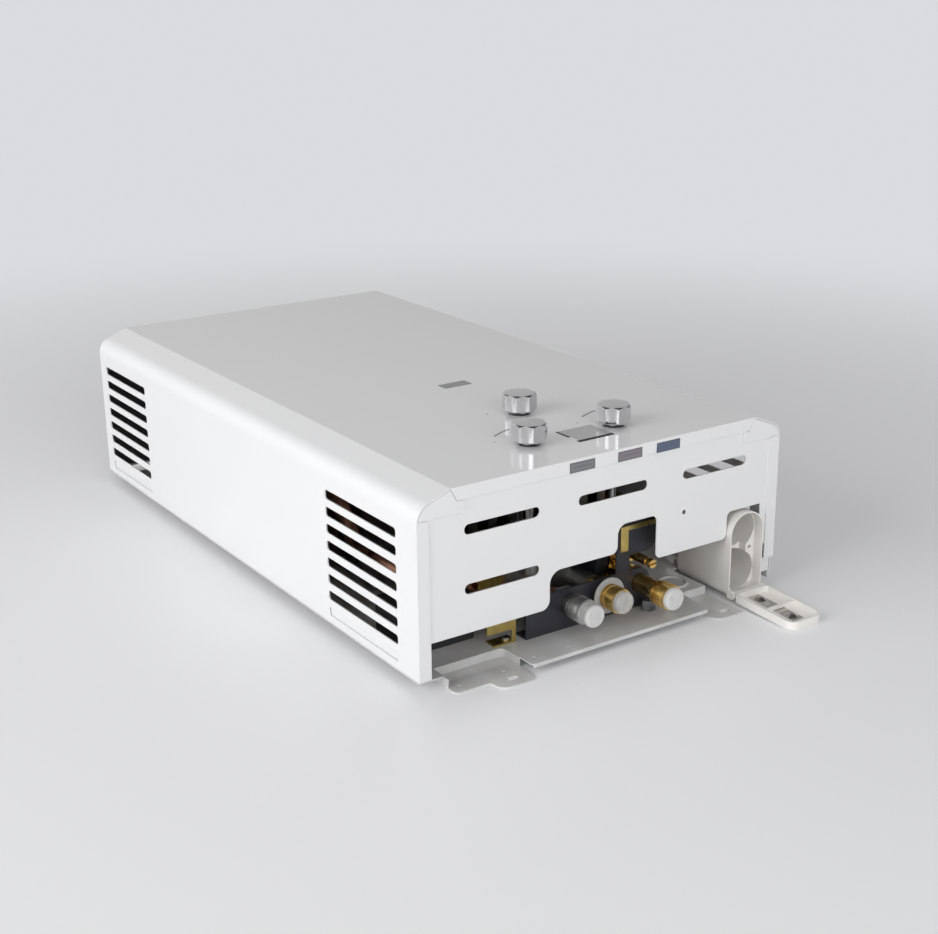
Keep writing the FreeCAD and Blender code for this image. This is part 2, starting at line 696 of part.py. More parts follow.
def exhaust_panel():
    """Panel at the exhaust end with two rows of upright outlet slots."""
    panel = end_panel_blank(Y_FAR - SHEET, Y_FAR - 2 * SHEET)
    cutters = []
    for row in (-0.5, 0.5):
        for k in range(VENT_COUNT):
            x = (k - (VENT_COUNT - 1) / 2) * VENT_PITCH
            corners = frame_corners(x, VENT_Z + row * VENT_ROW_PITCH, VENT_W, VENT_H, VENT_W * 0.49)
            cutters.append(across_y(corners, Y_FAR - 3 * SHEET, 4 * SHEET))
    cutters += rim_holes()
    return panel.cut(Part.makeCompound(cutters))


def marker(name):
    """Colour marker that fills one notch of the top rim."""
    return across_y(marker_corners(name, -SEAM), Y_NEAR, SHEET)


# ---------------------------------------------------------------- wall plate
def pad_outline(side, end, inset):
    """Outline of one pressed pad with its lug; side and end are -1 or 1 in X and in Y."""
    inner, outer = PAD_X + inset, PAD_X + PAD_W - inset
    root = CASE_L / 2 - PAD_DEPTH + inset
    rim, tip = CASE_L / 2 + PAD_REACH, CASE_L / 2 + LUG_REACH
    lug = LUG_X + LUG_W / 2
    at_root, at_rim, at_lug = PAD_CORNER_R
    corners = [(inner, root, at_root), (outer, root, 0), (outer, rim, at_rim), (lug, rim, at_rim),
               (lug, tip, at_lug), (inner, tip, at_lug)]
    return [(side * x, end * y, r) for x, y, r in corners]


def floor_screws():
    """Seats of the screws in the floor of the wall plate: x, y and height under the head."""
    sheet = FLOOR_TOP + BRACKET_T
    foot = BRACKET_Y + BRACKET_FOOT / 2 + BRACKET_T
    spots = [(x, foot, sheet) for x in BRACKET_SCREW_X]
    spots.append((GOLD_FOOT_X1 - SCREW_HEAD_R - 2, GOLD_Y + GOLD_FOOT_W / 2, sheet))
    spots.append((BOX_X, BOX_Y1 + TAB_L / 2, FLOOR_TOP + TAB_T))
    for side in (-1, 1):
        spots.append((side * (CHEEK_X + FOOT_L / 2), BURNER_Y + BURNER_L / 2, FLOOR_TOP + RAIL_T))
        for y in saddle_starts():
            spots.append((side * (SADDLE_L + FOOT_L) / 2, y + SADDLE_W / 2, FLOOR_TOP + SHEET))
    return spots


def wall_plate():
    """Pressed wall plate: raised floor, low pads with slotted lugs and folded sides."""
    inner = HALF_W - SHEET - SEAM
    near, far = Y_NEAR - PLATE_LIP, Y_FAR - 2 * SHEET - SEAM
    edge = Y_NEAR + PLATE_GAP
    floor = [(-inner, edge, 0), (-PAD_X, edge, 0), (-PAD_X, near, 4), (PAD_X, near, 4),
             (PAD_X, edge, 0), (inner, edge, 0), (inner, far, 0), (-inner, far, 0)]
    lip = across_z(floor, FLOOR_TOP - LIP_DROP, LIP_DROP)
    lip = lip.cut(box(-CASE_W, CASE_W, near + SHEET, CASE_L, 0, FRONT_Z))
    shapes = [across_z(floor, FLOOR_Z, SHEET), lip]
    for side in (-1, 1):
        shapes.append(box(*sorted((side * inner, side * (inner - SHEET))), edge, far, FLOOR_Z,
                          FLOOR_TOP + PLATE_FLANGE_H))
        for y in (-TAB_Y, TAB_Y):
            shapes.append(box(*sorted((side * HALF_W, side * (inner - SHEET))), y - TAB_SPAN / 2,
                              y + TAB_SPAN / 2, STANDOFF - SHEET, STANDOFF))
    plate = fuse(shapes)
    pads = []
    for side in (-1, 1):
        for end in (-1, 1):
            block = across_z(pad_outline(side, end, 0), 0, FLOOR_TOP)
            hollow = across_z(pad_outline(side, end, SHEET), SHEET, FLOOR_TOP)
            start, stop = sorted((end * (CASE_L / 2 + PAD_WALL_END), end * CASE_L))
            outside = box(-CASE_W, CASE_W, start, stop, SHEET, FRONT_Z)
            plate = plate.cut(block)
            pads.append(block.cut(hollow).cut(outside))
    cell_x = BOX_X - BOX_W / 2 - CELL_NOTCH
    plate = fuse([plate] + pads).cut(box(cell_x, inner - SHEET, -CASE_L, BOX_Y1 + 2, -1, FRONT_Z))
    plate = plate.cut(box(cell_x, HALF_W, -CASE_L, edge, -1, FRONT_Z))
    tab = box(inner - SIDE_TAB[0], inner, edge, edge + SHEET, SIDE_TAB[1], FLOOR_TOP + PLATE_FLANGE_H)
    ring_x, ring_past = RING_PLACE
    ring = Part.makeTorus(RING_R, RING_SECTION_R, V(ring_x, Y_NEAR + ring_past, FLOOR_TOP - RING_SINK))
    ring = ring.common(box(-CASE_W, CASE_W, -CASE_L, CASE_L, FLOOR_TOP - SHEET / 2, FRONT_Z))
    plate = fuse([plate, tab, ring])
    cutters = []
    for side in (-1, 1):
        for end in (-1, 1):
            y = end * (CASE_L / 2 + SCREW_SLOT_REACH)
            corners = frame_corners(side * LUG_X, y, SCREW_SLOT_L, 2 * SCREW_SLOT_R, SCREW_SLOT_R * 0.99)
            cutters.append(across_z(corners, -1, FLOOR_TOP))
    for x, reach in TOOL_HOLES:
        cutters.append(rod(TOOL_HOLE_R, (x, Y_NEAR - reach, -1), (0, 0, 1), 2 * FLOOR_TOP))
    for x, y, _ in floor_screws():
        cutters.append(rod(SCREW_R + PIN_PLAY, (x, y, -1), (0, 0, 1), 2 * FLOOR_TOP))
    return plate.cut(Part.makeCompound(cutters))


# ---------------------------------------------------------------- knobs and windows
def knob():
    """Faceted control knob about the Z axis, standing on z = 0, with a blind spindle hole."""
    rim = KNOB_R - KNOB_CHAMFER
    shoulder = KNOB_H - KNOB_CROWN - KNOB_CHAMFER
    ball = (rim ** 2 + KNOB_CROWN ** 2) / (2 * KNOB_CROWN)
    crown = Part.makeSphere(ball, V(0, 0, KNOB_H - ball)).common(rod(rim, (0, 0, shoulder), (0, 0, 1), KNOB_H))
    foot = Part.makeCone(KNOB_R - KNOB_FOOT, KNOB_R, KNOB_FOOT)
    body = fuse([foot, rod(KNOB_R, (0, 0, KNOB_FOOT), (0, 0, 1), shoulder - KNOB_FOOT),
                 Part.makeCone(KNOB_R, rim, KNOB_CHAMFER, V(0, 0, shoulder)), crown])
    turns = [2 * math.pi * (k + 0.5) / KNOB_FACETS for k in range(KNOB_FACETS)]
    facets = [(KNOB_FACET_R * math.cos(t), KNOB_FACET_R * math.sin(t), 0) for t in turns]
    body = body.common(across_z(facets, -1, KNOB_H + 2))
    return body.cut(rod(SPINDLE_R, (0, 0, -1), (0, 0, 1), SPINDLE_GRIP + 1))


def collar():
    """Black bush under a knob: a disc on the front face and a spigot in its hole."""
    disc = rod(COLLAR_R, (0, 0, 0), (0, 0, 1), KNOB_LIFT)
    spigot = rod(SPINDLE_R + TURN_GAP + SHEET, (0, 0, -SHEET - 1), (0, 0, 1), SHEET + 1)
    return disc.fuse(spigot).cut(rod(SPINDLE_R + TURN_GAP, (0, 0, -5), (0, 0, 1), KNOB_LIFT + 10))


def spindle(low):
    """Control spindle from the valve up into its knob, with a flat for the grip."""
    top = KNOB_Z + SPINDLE_GRIP - TURN_GAP
    shaft = rod(SPINDLE_R, (0, 0, low), (0, 0, 1), top - low)
    flat = box(SPINDLE_R - SPINDLE_FLAT, SPINDLE_R + 1, -SPINDLE_R, SPINDLE_R, KNOB_Z, top + 1)
    return shaft.cut(flat)


def lens(centre, width, length):
    """Window pane that fills its hole and rests on a rim behind the sheet."""
    x, y = centre
    pane = across_z(frame_corners(x, y, width - SEAM, length - SEAM, LENS_R), INSIDE_Z, SHEET)
    rim = across_z(frame_corners(x, y, width + 2 * LENS_RIM, length + 2 * LENS_RIM, LENS_R),
                   INSIDE_Z - LENS_RIM_T, LENS_RIM_T)
    return pane.fuse(rim).removeSplitter()


def display_board():
    """Display module and its circuit board, hung under the lens on four posts."""
    x, y = DISPLAY_POS
    top = DISPLAY_LOW + BOARD_DROP
    board = across_z(frame_corners(x, y, DISPLAY_W + 2 * BOARD_MARGIN, DISPLAY_L + 2 * BOARD_MARGIN, LENS_R),
                     DISPLAY_LOW - BOARD_T, BOARD_T)
    half_x, half_y = DISPLAY_W / 2 - GLASS_INSET, DISPLAY_L / 2 - GLASS_INSET
    glass = box(x - half_x, x + half_x, y - half_y, y + half_y, DISPLAY_LOW, top - 1)
    posts = [rod(POST_R, (x + side * DISPLAY_W / 2, y + end * DISPLAY_L / 2, DISPLAY_LOW - 0.5),
                 (0, 0, 1), BOARD_DROP + 0.5) for side in (-1, 1) for end in (-1, 1)]
    return fuse([board, glass] + posts)


# ---------------------------------------------------------------- connections
def tube_end(name):
    """Y of the open end of one connection."""
    return Y_NEAR - CONNECTION[name][1]


def connection(name, back_y):
    """Turned fitting: threaded end, shank through the bracket, shoulder hexagon behind it."""
    x = CONNECTION[name][0]
    tip = tube_end(name)
    hex_y = BRACKET_Y + BRACKET_T
    thread = rod(THREAD_R, (x, tip, PIPE_Z), (0, 1, 0), THREAD_L)
    shank = rod(SHANK_R, (x, tip + 1, PIPE_Z), (0, 1, 0), back_y - tip - 1)
    body = fuse([thread, shank, hexagon(HEX_AF, (x, hex_y, PIPE_Z), HEX_T)])
    groove_y = tip + THREAD_L - THREAD_COLLAR - THREAD_RELIEF
    groove = washer(THREAD_R + 1, THREAD_R - THREAD_RELIEF_DEPTH, (x, groove_y, PIPE_Z), (0, 1, 0),
                    THREAD_RELIEF)
    return body.cut(groove).cut(rod(BORE_R, (x, tip - 1, PIPE_Z), (0, 1, 0), back_y - tip + 2))


def cap(name):
    """Push-in dust cap: a head as wide as the thread and a hollow plug in the bore."""
    x = CONNECTION[name][0]
    tip = tube_end(name)
    head_l = CAP_HEAD[name]
    head = rod(THREAD_R - CAP_MARGIN, (x, tip - TURN_GAP - head_l, PIPE_Z), (0, 1, 0), head_l)
    head = head.makeFillet(CAP_ROUND, [e for e in head.Edges if e.BoundBox.YMax < tip - head_l])
    plug = rod(BORE_R - PLUG_GAP, (x, tip - TURN_GAP - 1, PIPE_Z), (0, 1, 0), CAP_PLUG_L + 1)
    hollow = rod(BORE_R - PLUG_GAP - CAP_WALL, (x, tip - TURN_GAP, PIPE_Z), (0, 1, 0), CAP_PLUG_L + 1)
    return head.fuse(plug).cut(hollow)


def gas_disc():
    """Sealing disc behind the thread of the gas inlet."""
    x = CONNECTION["gas"][0]
    y = tube_end("gas") + THREAD_L + SEAM
    return washer(DISC_R, SHANK_R + PLUG_GAP, (x, y, PIPE_Z), (0, 1, 0), DISC_T)


def connection_bracket():
    """Dark folded bracket on the floor that carries the connections, with a plate above a neck."""
    at_left, at_right, at_head = BRACKET_R
    neck_x0, neck_x1 = BRACKET_NECK
    head_x1, head_z0, head_z1 = BRACKET_HEAD
    corners = [(BRACKET_X0, FLOOR_TOP, 0), (BRACKET_X1, FLOOR_TOP, 0), (BRACKET_X1, BRACKET_BAR_Z, at_right),
               (neck_x1, BRACKET_BAR_Z, 0), (neck_x1, head_z0, 0), (head_x1, head_z0, at_head),
               (head_x1, head_z1, 0), (neck_x0, head_z1, 0), (neck_x0, BRACKET_BAR_Z, 0),
               (BRACKET_X0, BRACKET_BAR_Z, at_left)]
    upright = across_y(corners, BRACKET_Y, BRACKET_T)
    foot = box(BRACKET_X0, BRACKET_X1, BRACKET_Y, BRACKET_Y + BRACKET_FOOT, FLOOR_TOP,
               FLOOR_TOP + BRACKET_T)
    cutters = []
    for x, _ in CONNECTION.values():
        cutters.append(rod(SHANK_R + SEAM, (x, BRACKET_Y - 1, PIPE_Z), (0, 1, 0), BRACKET_T + 2))
    for x, y, _ in floor_screws()[:2]:
        cutters.append(rod(SCREW_R + PIN_PLAY, (x, y, 0), (0, 0, 1), PIPE_Z))
    return upright.fuse(foot).cut(Part.makeCompound(cutters))


def valve_shield():
    """Chromated guard on the bracket's neck: a post with a band at its top."""
    x0, x1, x2 = GUARD_X
    foot, z0, z1 = GUARD_Z
    corners = [(x0, foot, 0), (x1, foot, 0), (x1, z0, 0), (x2, z0, 0), (x2, z1, 0), (x0, z1, 0)]
    return across_y(corners, BRACKET_Y - BRACKET_T, BRACKET_T)


def drain_screw():
    """Drain and relief screw: a slotted rod that screws into the water valve."""
    x = CONNECTION["cold"][0]
    y = Y_NEAR + DRAIN_INSET
    body = rod(DRAIN_R, (x, y, DRAIN_Z), (0, 1, 0), DRAIN_L)
    slot = box(x - DRAIN_R - 1, x + DRAIN_R + 1, y - 1, y + DRAIN_SLOT_DEPTH, DRAIN_Z - DRAIN_SLOT / 2,
               DRAIN_Z + DRAIN_SLOT / 2)
    neck = washer(DRAIN_R + 1, DRAIN_R - DRAIN_NECK, (x, y + 2 * DRAIN_SLOT_DEPTH, DRAIN_Z), (0, 1, 0), 2)
    return body.cut(slot).cut(neck)


# ---------------------------------------------------------------- water valve and interlock
def ear_centres():
    """Y and Z of the four screw ears of the valve housing."""
    turns = [math.radians(45 + 90 * k) for k in range(4)]
    return [(VALVE_Y + HOUSING_R * math.cos(t), VALVE_Z + HOUSING_R * math.sin(t)) for t in turns]


def housing_half(x, ear_x):
    """Round half of the diaphragm housing from x, with four screw ears from ear_x."""
    shapes = [rod(HOUSING_R, (x, VALVE_Y, VALVE_Z), (1, 0, 0), HOUSING_T)]
    shapes += [rod(HOUSING_EAR_R, (ear_x, y, z), (1, 0, 0), HOUSING_EAR_T) for y, z in ear_centres()]
    return shapes


def ear_holes():
    """Holes for the housing screws."""
    return [rod(SCREW_R + PIN_PLAY, (HOUSING_X - HOUSING_T, y, z), (1, 0, 0), 2 * HOUSING_T)
            for y, z in ear_centres()]


def water_valve_cover():
    """Gas-side half of the water valve with the spigot that guides the thrust pin."""
    x0 = HOUSING_X - HOUSING_T
    spigot = rod(SPIGOT_R, (x0 - SPIGOT_L, VALVE_Y, VALVE_Z), (1, 0, 0), SPIGOT_L + 1)
    body = fuse(housing_half(x0, HOUSING_X - HOUSING_EAR_T) + [spigot])
    room = PIN_TRAVEL + PLATE_T + 1 + 2 * TURN_GAP
    cutters = ear_holes()
    for y, z in ear_centres():
        cutters.append(rod(SCREW_HEAD_R + TURN_GAP, (x0 - 1, y, z), (1, 0, 0), HOUSING_T - HOUSING_EAR_T + 1))
    cutters.append(rod(CHAMBER_R, (HOUSING_X - room, VALVE_Y, VALVE_Z), (1, 0, 0), room + 1))
    cutters.append(rod(PIN_R + PIN_PLAY, (x0 - SPIGOT_L - 1, VALVE_Y, VALVE_Z), (1, 0, 0), 2 * HOUSING_T))
    return body.cut(Part.makeCompound(cutters))


def water_valve_body():
    """Water-side half: bosses for the inlet, the drain screw, the outlet and the spindle."""
    x0 = HOUSING_X + RUBBER_T
    cold_x = CONNECTION["cold"][0]
    knob_x, knob_y = KNOB_POS["water"]
    drain_y = Y_NEAR + DRAIN_INSET + DRAIN_L - DRAIN_GRIP
    shapes = housing_half(x0, x0)
    shapes.append(rod(INLET_BOSS_R, (cold_x, FITTING_BACK["cold"], PIPE_Z), (0, 1, 0),
                      VALVE_Y - FITTING_BACK["cold"]))
    shapes.append(rod(DRAIN_R + DRAIN_WALL, (cold_x, drain_y, DRAIN_Z), (0, 1, 0), VALVE_Y - drain_y))
    shapes.append(rod(TUBE_R + DRAIN_WALL, (x0 + 1, VALVE_Y, VALVE_Z), (1, 0, 0),
                      HOUSING_T + OUTLET_BOSS_L - 1))
    shapes.append(rod(SPINDLE_BOSS_R, (knob_x, knob_y, VALVE_Z), (0, 0, 1), WATER_BOSS_TOP - VALVE_Z))
    cutters = ear_holes()
    cutters.append(rod(CHAMBER_R, (x0 - 1, VALVE_Y, VALVE_Z), (1, 0, 0), HOUSING_T / 2))
    cutters.append(rod(BORE_R, (cold_x, FITTING_BACK["cold"] - 1, PIPE_Z), (0, 1, 0), INLET_DEPTH))
    cutters.append(rod(DRAIN_R + PIN_PLAY, (cold_x, drain_y - 1, DRAIN_Z), (0, 1, 0),
                       DRAIN_GRIP + 1 + TURN_GAP))
    cutters.append(rod(SPINDLE_R + PIN_PLAY, (knob_x, knob_y, WATER_BOSS_TOP - SPINDLE_DEPTH - TURN_GAP),
                       (0, 0, 1), SPINDLE_DEPTH + 2))
    return fuse(shapes).cut(Part.makeCompound(cutters))


def diaphragm():
    """Rubber diaphragm clamped between the two halves, with a moulded bead."""
    disc = rod(RUBBER_R, (HOUSING_X, VALVE_Y, VALVE_Z), (1, 0, 0), RUBBER_T)
    bead = Part.makeTorus(BEAD_R, BEAD_SECTION_R, V(HOUSING_X + RUBBER_T, VALVE_Y, VALVE_Z), V(1, 0, 0))
    return disc.fuse(bead)


def thrust_pin():
    """Plate and pin that the diaphragm pushes towards the gas valve, with the switch disc."""
    plate_x = HOUSING_X - TURN_GAP - PLATE_T
    pin_x = GAS_X1 - PIN_DEPTH + PIN_TRAVEL
    pin = rod(PIN_R, (pin_x, VALVE_Y, VALVE_Z), (1, 0, 0), plate_x + PLATE_T / 2 - pin_x)
    plate = rod(PLATE_R, (plate_x, VALVE_Y, VALVE_Z), (1, 0, 0), PLATE_T)
    disc = rod(PIN_DISC_R, (PIN_DISC_X, VALVE_Y, VALVE_Z), (1, 0, 0), PIN_DISC_T)
    return fuse([pin, plate, disc])


def flow_switch():
    """Switch body on top of the gas valve, with two ears that carry its lever."""
    x1 = LEVER_X + SWITCH_L / 4
    shapes = [box(x1 - SWITCH_L, x1, VALVE_Y - SWITCH_W / 2, VALVE_Y + SWITCH_W / 2, GAS_Z1,
                  GAS_Z1 + SWITCH_H)]
    near = LEVER_W / 2 + TURN_GAP
    for side in (-1, 1):
        y0, y1 = sorted((VALVE_Y + side * near, VALVE_Y + side * (near + LEVER_EAR_T)))
        shapes.append(box(LEVER_X - LEVER_EAR_W / 2, LEVER_X + LEVER_EAR_W / 2, y0, y1,
                          LEVER_Z - LEVER_EAR_W / 2, GAS_Z1 + 1))
    hole = rod(LEVER_PIN_R + PIN_PLAY, (LEVER_X, VALVE_Y - SWITCH_W, LEVER_Z), (0, 1, 0), 2 * SWITCH_W)
    return fuse(shapes).cut(hole)


def switch_lever():
    """Spring-steel lever that the thrust pin's disc presses, hung on its axle."""
    low = VALVE_Z + PIN_DISC_R - LEVER_LAP
    blade = box(LEVER_X - LEVER_T / 2, LEVER_X + LEVER_T / 2, VALVE_Y - LEVER_W / 2,
                VALVE_Y + LEVER_W / 2, low, LEVER_Z)
    reach = LEVER_W / 2 + TURN_GAP + LEVER_EAR_T
    axle = rod(LEVER_PIN_R, (LEVER_X, VALVE_Y - reach, LEVER_Z), (0, 1, 0), 2 * reach)
    return fuse([blade, axle])


# ---------------------------------------------------------------- gas valve and burner
def gas_valve():
    """Cast gas valve: inlet elbow, spindle boss, pin bore and the seat of the solenoid."""
    gas_x = CONNECTION["gas"][0]
    knob_x, knob_y = KNOB_POS["gas"]
    c = GAS_CHAMFER
    outline = [(GAS_X0 + c, GAS_Z0, 0), (GAS_X1 - c, GAS_Z0, 0), (GAS_X1, GAS_Z0 + c, 0),
               (GAS_X1, GAS_Z1, 0), (GAS_X0 + c, GAS_Z1, 0), (GAS_X0, GAS_Z1 - c, 0),
               (GAS_X0, GAS_Z0 + c, 0)]
    elbow_y = GAS_Y0 + GAS_ELBOW_R
    shapes = [across_y(outline, GAS_Y0, GAS_Y1 - GAS_Y0)]
    back = FITTING_BACK["gas"]
    shapes.append(rod(GAS_ELBOW_R, (gas_x, back, PIPE_Z), (0, 1, 0), elbow_y - back))
    shapes.append(rod(GAS_ELBOW_R, (GAS_X1 - c, elbow_y, PIPE_Z), (1, 0, 0), gas_x - GAS_X1 + c))
    shapes.append(Part.makeSphere(GAS_ELBOW_R, V(gas_x, elbow_y, PIPE_Z)))
    low = GAS_Z1 - 2 * SPINDLE_BOSS_H
    shapes.append(rod(GAS_BOSS_R, (knob_x, knob_y, low), (0, 0, 1), GAS_BOSS_TOP - low))
    inlet = rod(BORE_R, (gas_x, back - 1, PIPE_Z), (0, 1, 0), INLET_DEPTH)
    pin = rod(PIN_R + PIN_PLAY, (GAS_X1 - PIN_DEPTH - 1, VALVE_Y, VALVE_Z), (1, 0, 0), PIN_DEPTH + 2)
    turn = rod(SPINDLE_R + PIN_PLAY, (knob_x, knob_y, GAS_BOSS_TOP - SPINDLE_DEPTH - TURN_GAP), (0, 0, 1),
               SPINDLE_DEPTH + 2)
    return fuse(shapes).cut(Part.makeCompound([inlet, pin, turn]))


def solenoid():
    """Shut-off solenoid on the side of the gas valve."""
    y, z = (GAS_Y0 + GAS_Y1) / 2, (GAS_Z0 + GAS_Z1) / 2
    x = GAS_X0 - SOLENOID_L
    coil = rod(SOLENOID_R, (x, y, z), (1, 0, 0), SOLENOID_L)
    end = rod(SOLENOID_R / 2, (x - SOLENOID_CAP_L, y, z), (1, 0, 0), SOLENOID_CAP_L + 1)
    yoke = box(x + SOLENOID_CAP_L, GAS_X0, y - SOLENOID_R, y + SOLENOID_R, z - SOLENOID_R - SHEET,
               z - SOLENOID_R / 2)
    return fuse([coil, end, yoke])


def burner_x(k):
    """X of burner k."""
    return (k - (BURNER_COUNT - 1) / 2) * BURNER_PITCH


def manifold():
    """Gas manifold across the burners with its duct, its two legs and the spindle boss."""
    half = burner_x(BURNER_COUNT - 1) + MANIFOLD_END
    top = MANIFOLD_Z + MANIFOLD_H / 2
    shapes = [across_x(frame_corners(MANIFOLD_Y, MANIFOLD_Z, MANIFOLD_W, MANIFOLD_H, MANIFOLD_EDGE_R),
                       -half, 2 * half)]
    shapes.append(box(DUCT_X - DUCT_W / 2, DUCT_X + DUCT_W / 2, GAS_Y1, MANIFOLD_Y,
                      MANIFOLD_Z - DUCT_H / 2, MANIFOLD_Z + DUCT_H / 2))
    for side in (-1, 1):
        shapes.append(box(*sorted((side * half, side * (half - MANIFOLD_LEG_T))),
                          MANIFOLD_Y - MANIFOLD_W / 2 + MANIFOLD_EDGE_R,
                          MANIFOLD_Y + MANIFOLD_W / 2 - MANIFOLD_EDGE_R, FLOOR_TOP, MANIFOLD_Z))
    x, y = KNOB_POS["season"]
    low = MANIFOLD_Z + JET_R + 1
    shapes.append(rod(SPINDLE_BOSS_R, (x, y, low), (0, 0, 1), SEASON_BOSS_TOP - low))
    turn = rod(SPINDLE_R + PIN_PLAY, (x, y, SEASON_BOSS_TOP - SPINDLE_DEPTH - TURN_GAP), (0, 0, 1),
               SPINDLE_DEPTH + 2)
    return fuse(shapes).cut(turn)


def jets():
    """Brass jets, one for each burner."""
    y = MANIFOLD_Y + MANIFOLD_W / 2
    return Part.makeCompound([rod(JET_R, (burner_x(k), y, MANIFOLD_Z), (0, 1, 0), JET_L)
                              for k in range(BURNER_COUNT)])


def burner_row():
    """Row of flat burners joined by two rails between two cheeks that stand on the floor."""
    y1 = BURNER_Y + BURNER_L
    z1 = BURNER_Z0 + BURNER_H
    corners = frame_corners((BURNER_Y + y1) / 2, (BURNER_Z0 + z1) / 2, BURNER_L, BURNER_H, BURNER_R)
    shapes, cutters = [], []
    for k in range(BURNER_COUNT):
        x = burner_x(k)
        shapes.append(across_x(corners, x - BURNER_T / 2, BURNER_T))
        cutters.append(rod(MOUTH_R, (x, BURNER_Y - 1, MANIFOLD_Z), (0, 1, 0), MOUTH_L))
        cutters.append(box(x - PORT_W / 2, x + PORT_W / 2, y1 - PORT_DEPTH, y1 + 1,
                           BURNER_Z0 + PORT_END, z1 - PORT_END))
    for z in (BURNER_Z0 + RAIL_INSET, z1 - RAIL_INSET - RAIL_T):
        shapes.append(box(-CHEEK_X, CHEEK_X, BURNER_Y + RAIL_Y, BURNER_Y + RAIL_Y + RAIL_L, z, z + RAIL_T))
    y_foot = (BURNER_Y + y1) / 2
    for side in (-1, 1):
        shapes.append(box(*sorted((side * CHEEK_X, side * (CHEEK_X - RAIL_T))), BURNER_Y + CHEEK_INSET,
                          y1 - CHEEK_INSET, FLOOR_TOP, z1 - RAIL_INSET))
        foot = box(*sorted((side * (CHEEK_X - RAIL_T), side * (CHEEK_X + FOOT_L))), y_foot - FOOT_W / 2,
                   y_foot + FOOT_W / 2, FLOOR_TOP, FLOOR_TOP + RAIL_T)
        shapes.append(foot)
        cutters.append(rod(SCREW_R + PIN_PLAY, (side * (CHEEK_X + FOOT_L / 2), y_foot, FLOOR_Z),
                           (0, 0, 1), 2 * RAIL_T + SHEET))
    return fuse(shapes).cut(Part.makeCompound(cutters))


# ---------------------------------------------------------------- heat exchanger and hood
def duct(y, length):
    """Copper duct with the section of the chamber, rounded where the tube bends over its corners."""
    z_mid, height = (CORE_Z0 + CORE_Z1) / 2, CORE_Z1 - CORE_Z0
    radius = TUBE_BEND - TUBE_R - SEAM
    outer = across_y(frame_corners(0, z_mid, 2 * CORE_X, height, radius), y, length)
    t = COPPER_T
    inner = frame_corners(0, z_mid, 2 * (CORE_X - t), height - 2 * t, radius - t)
    return outer.cut(across_y(inner, y - 1, length + 2))


def combustion_chamber():
    """Copper chamber between the burners and the fins, with two holes for the electrodes."""
    holes = [rod(CERAMIC_R + PIN_PLAY, (x, CORE_Y0 + ELECTRODE_Y, CORE_Z1 - 2), (0, 0, 1), 4)
             for x in ELECTRODE_X]
    return duct(CORE_Y0, CORE_L).cut(Part.makeCompound(holes))


def fin_pack():
    """Copper fins in their frame, bored for the passes of the water tube."""
    pitch = 2 * CORE_X / (FIN_COUNT + 1)
    shapes = [duct(FIN_Y0, FIN_L)]
    for k in range(FIN_COUNT):
        x = (k + 1) * pitch - CORE_X
        shapes.append(box(x - FIN_T / 2, x + FIN_T / 2, FIN_Y0 + 1, FIN_Y0 + FIN_L - 1,
                          CORE_Z0 + COPPER_T / 2, CORE_Z1 - COPPER_T / 2))
    holes = [rod(TUBE_R + PIN_PLAY, (-CORE_X - 1, PASS_Y, z), (1, 0, 0), 2 * CORE_X + 2) for z in PASS_Z]
    return fuse(shapes).cut(Part.makeCompound(holes))


def exchanger_tube():
    """Water tube: from the cold joint round the chamber, then to and fro through the fins."""
    y_turn = CORE_Y0 + WRAP_Y
    over = CORE_Z1 + TUBE_R + SEAM
    points = [(WRAP_X, JOINT_NEAR_Y, VALVE_Z), (WRAP_X, y_turn, VALVE_Z), (WRAP_X, y_turn, over),
              (-WRAP_X, y_turn, over), (-WRAP_X, y_turn, PASS_Z[0]),
              (-WRAP_X, CORE_Y0 + JOG_Y[0], PASS_Z[0]), (-TURN_X, CORE_Y0 + JOG_Y[1], PASS_Z[0]),
              (-TURN_X, PASS_Y, PASS_Z[0])]
    side = 1
    for low, high in zip(PASS_Z, PASS_Z[1:]):
        points += [(side * TURN_X, PASS_Y, low), (side * TURN_X, PASS_Y, high)]
        side = -side
    points += [(-HOT_X, PASS_Y, PASS_Z[-1]), (-HOT_X, JOINT_FAR_Y, PASS_Z[-1])]
    return pipe(points, TUBE_R, TUBE_BEND)


def hood_section(inset, x, y, z0, z1):
    """Rectangular wire of the hood across Y, moved inwards by inset."""
    a, low, high = x - inset, z0 + inset, z1 - inset
    return Part.makePolygon([V(-a, y, low), V(a, y, low), V(a, y, high), V(-a, y, high), V(-a, y, low)])


def exhaust_hood():
    """Sheet hood that gathers the flue gas from the fins to the outlet slots."""
    y0, y1 = FIN_Y0 + FIN_L, Y_FAR - 2 * SHEET
    outer, inner = [Part.makeLoft([hood_section(inset, CORE_X, y0, CORE_Z0, CORE_Z1),
                                   hood_section(inset, HOOD_OUT_W / 2, y1, HOOD_OUT_Z0, HOOD_OUT_Z1)],
                                  True, True) for inset in (0, HOOD_T)]
    return outer.cut(inner)


def saddle_starts():
    """Y of the near face of each saddle."""
    return CORE_Y0 + SADDLE_INSET[0], FIN_Y0 + SADDLE_INSET[1]


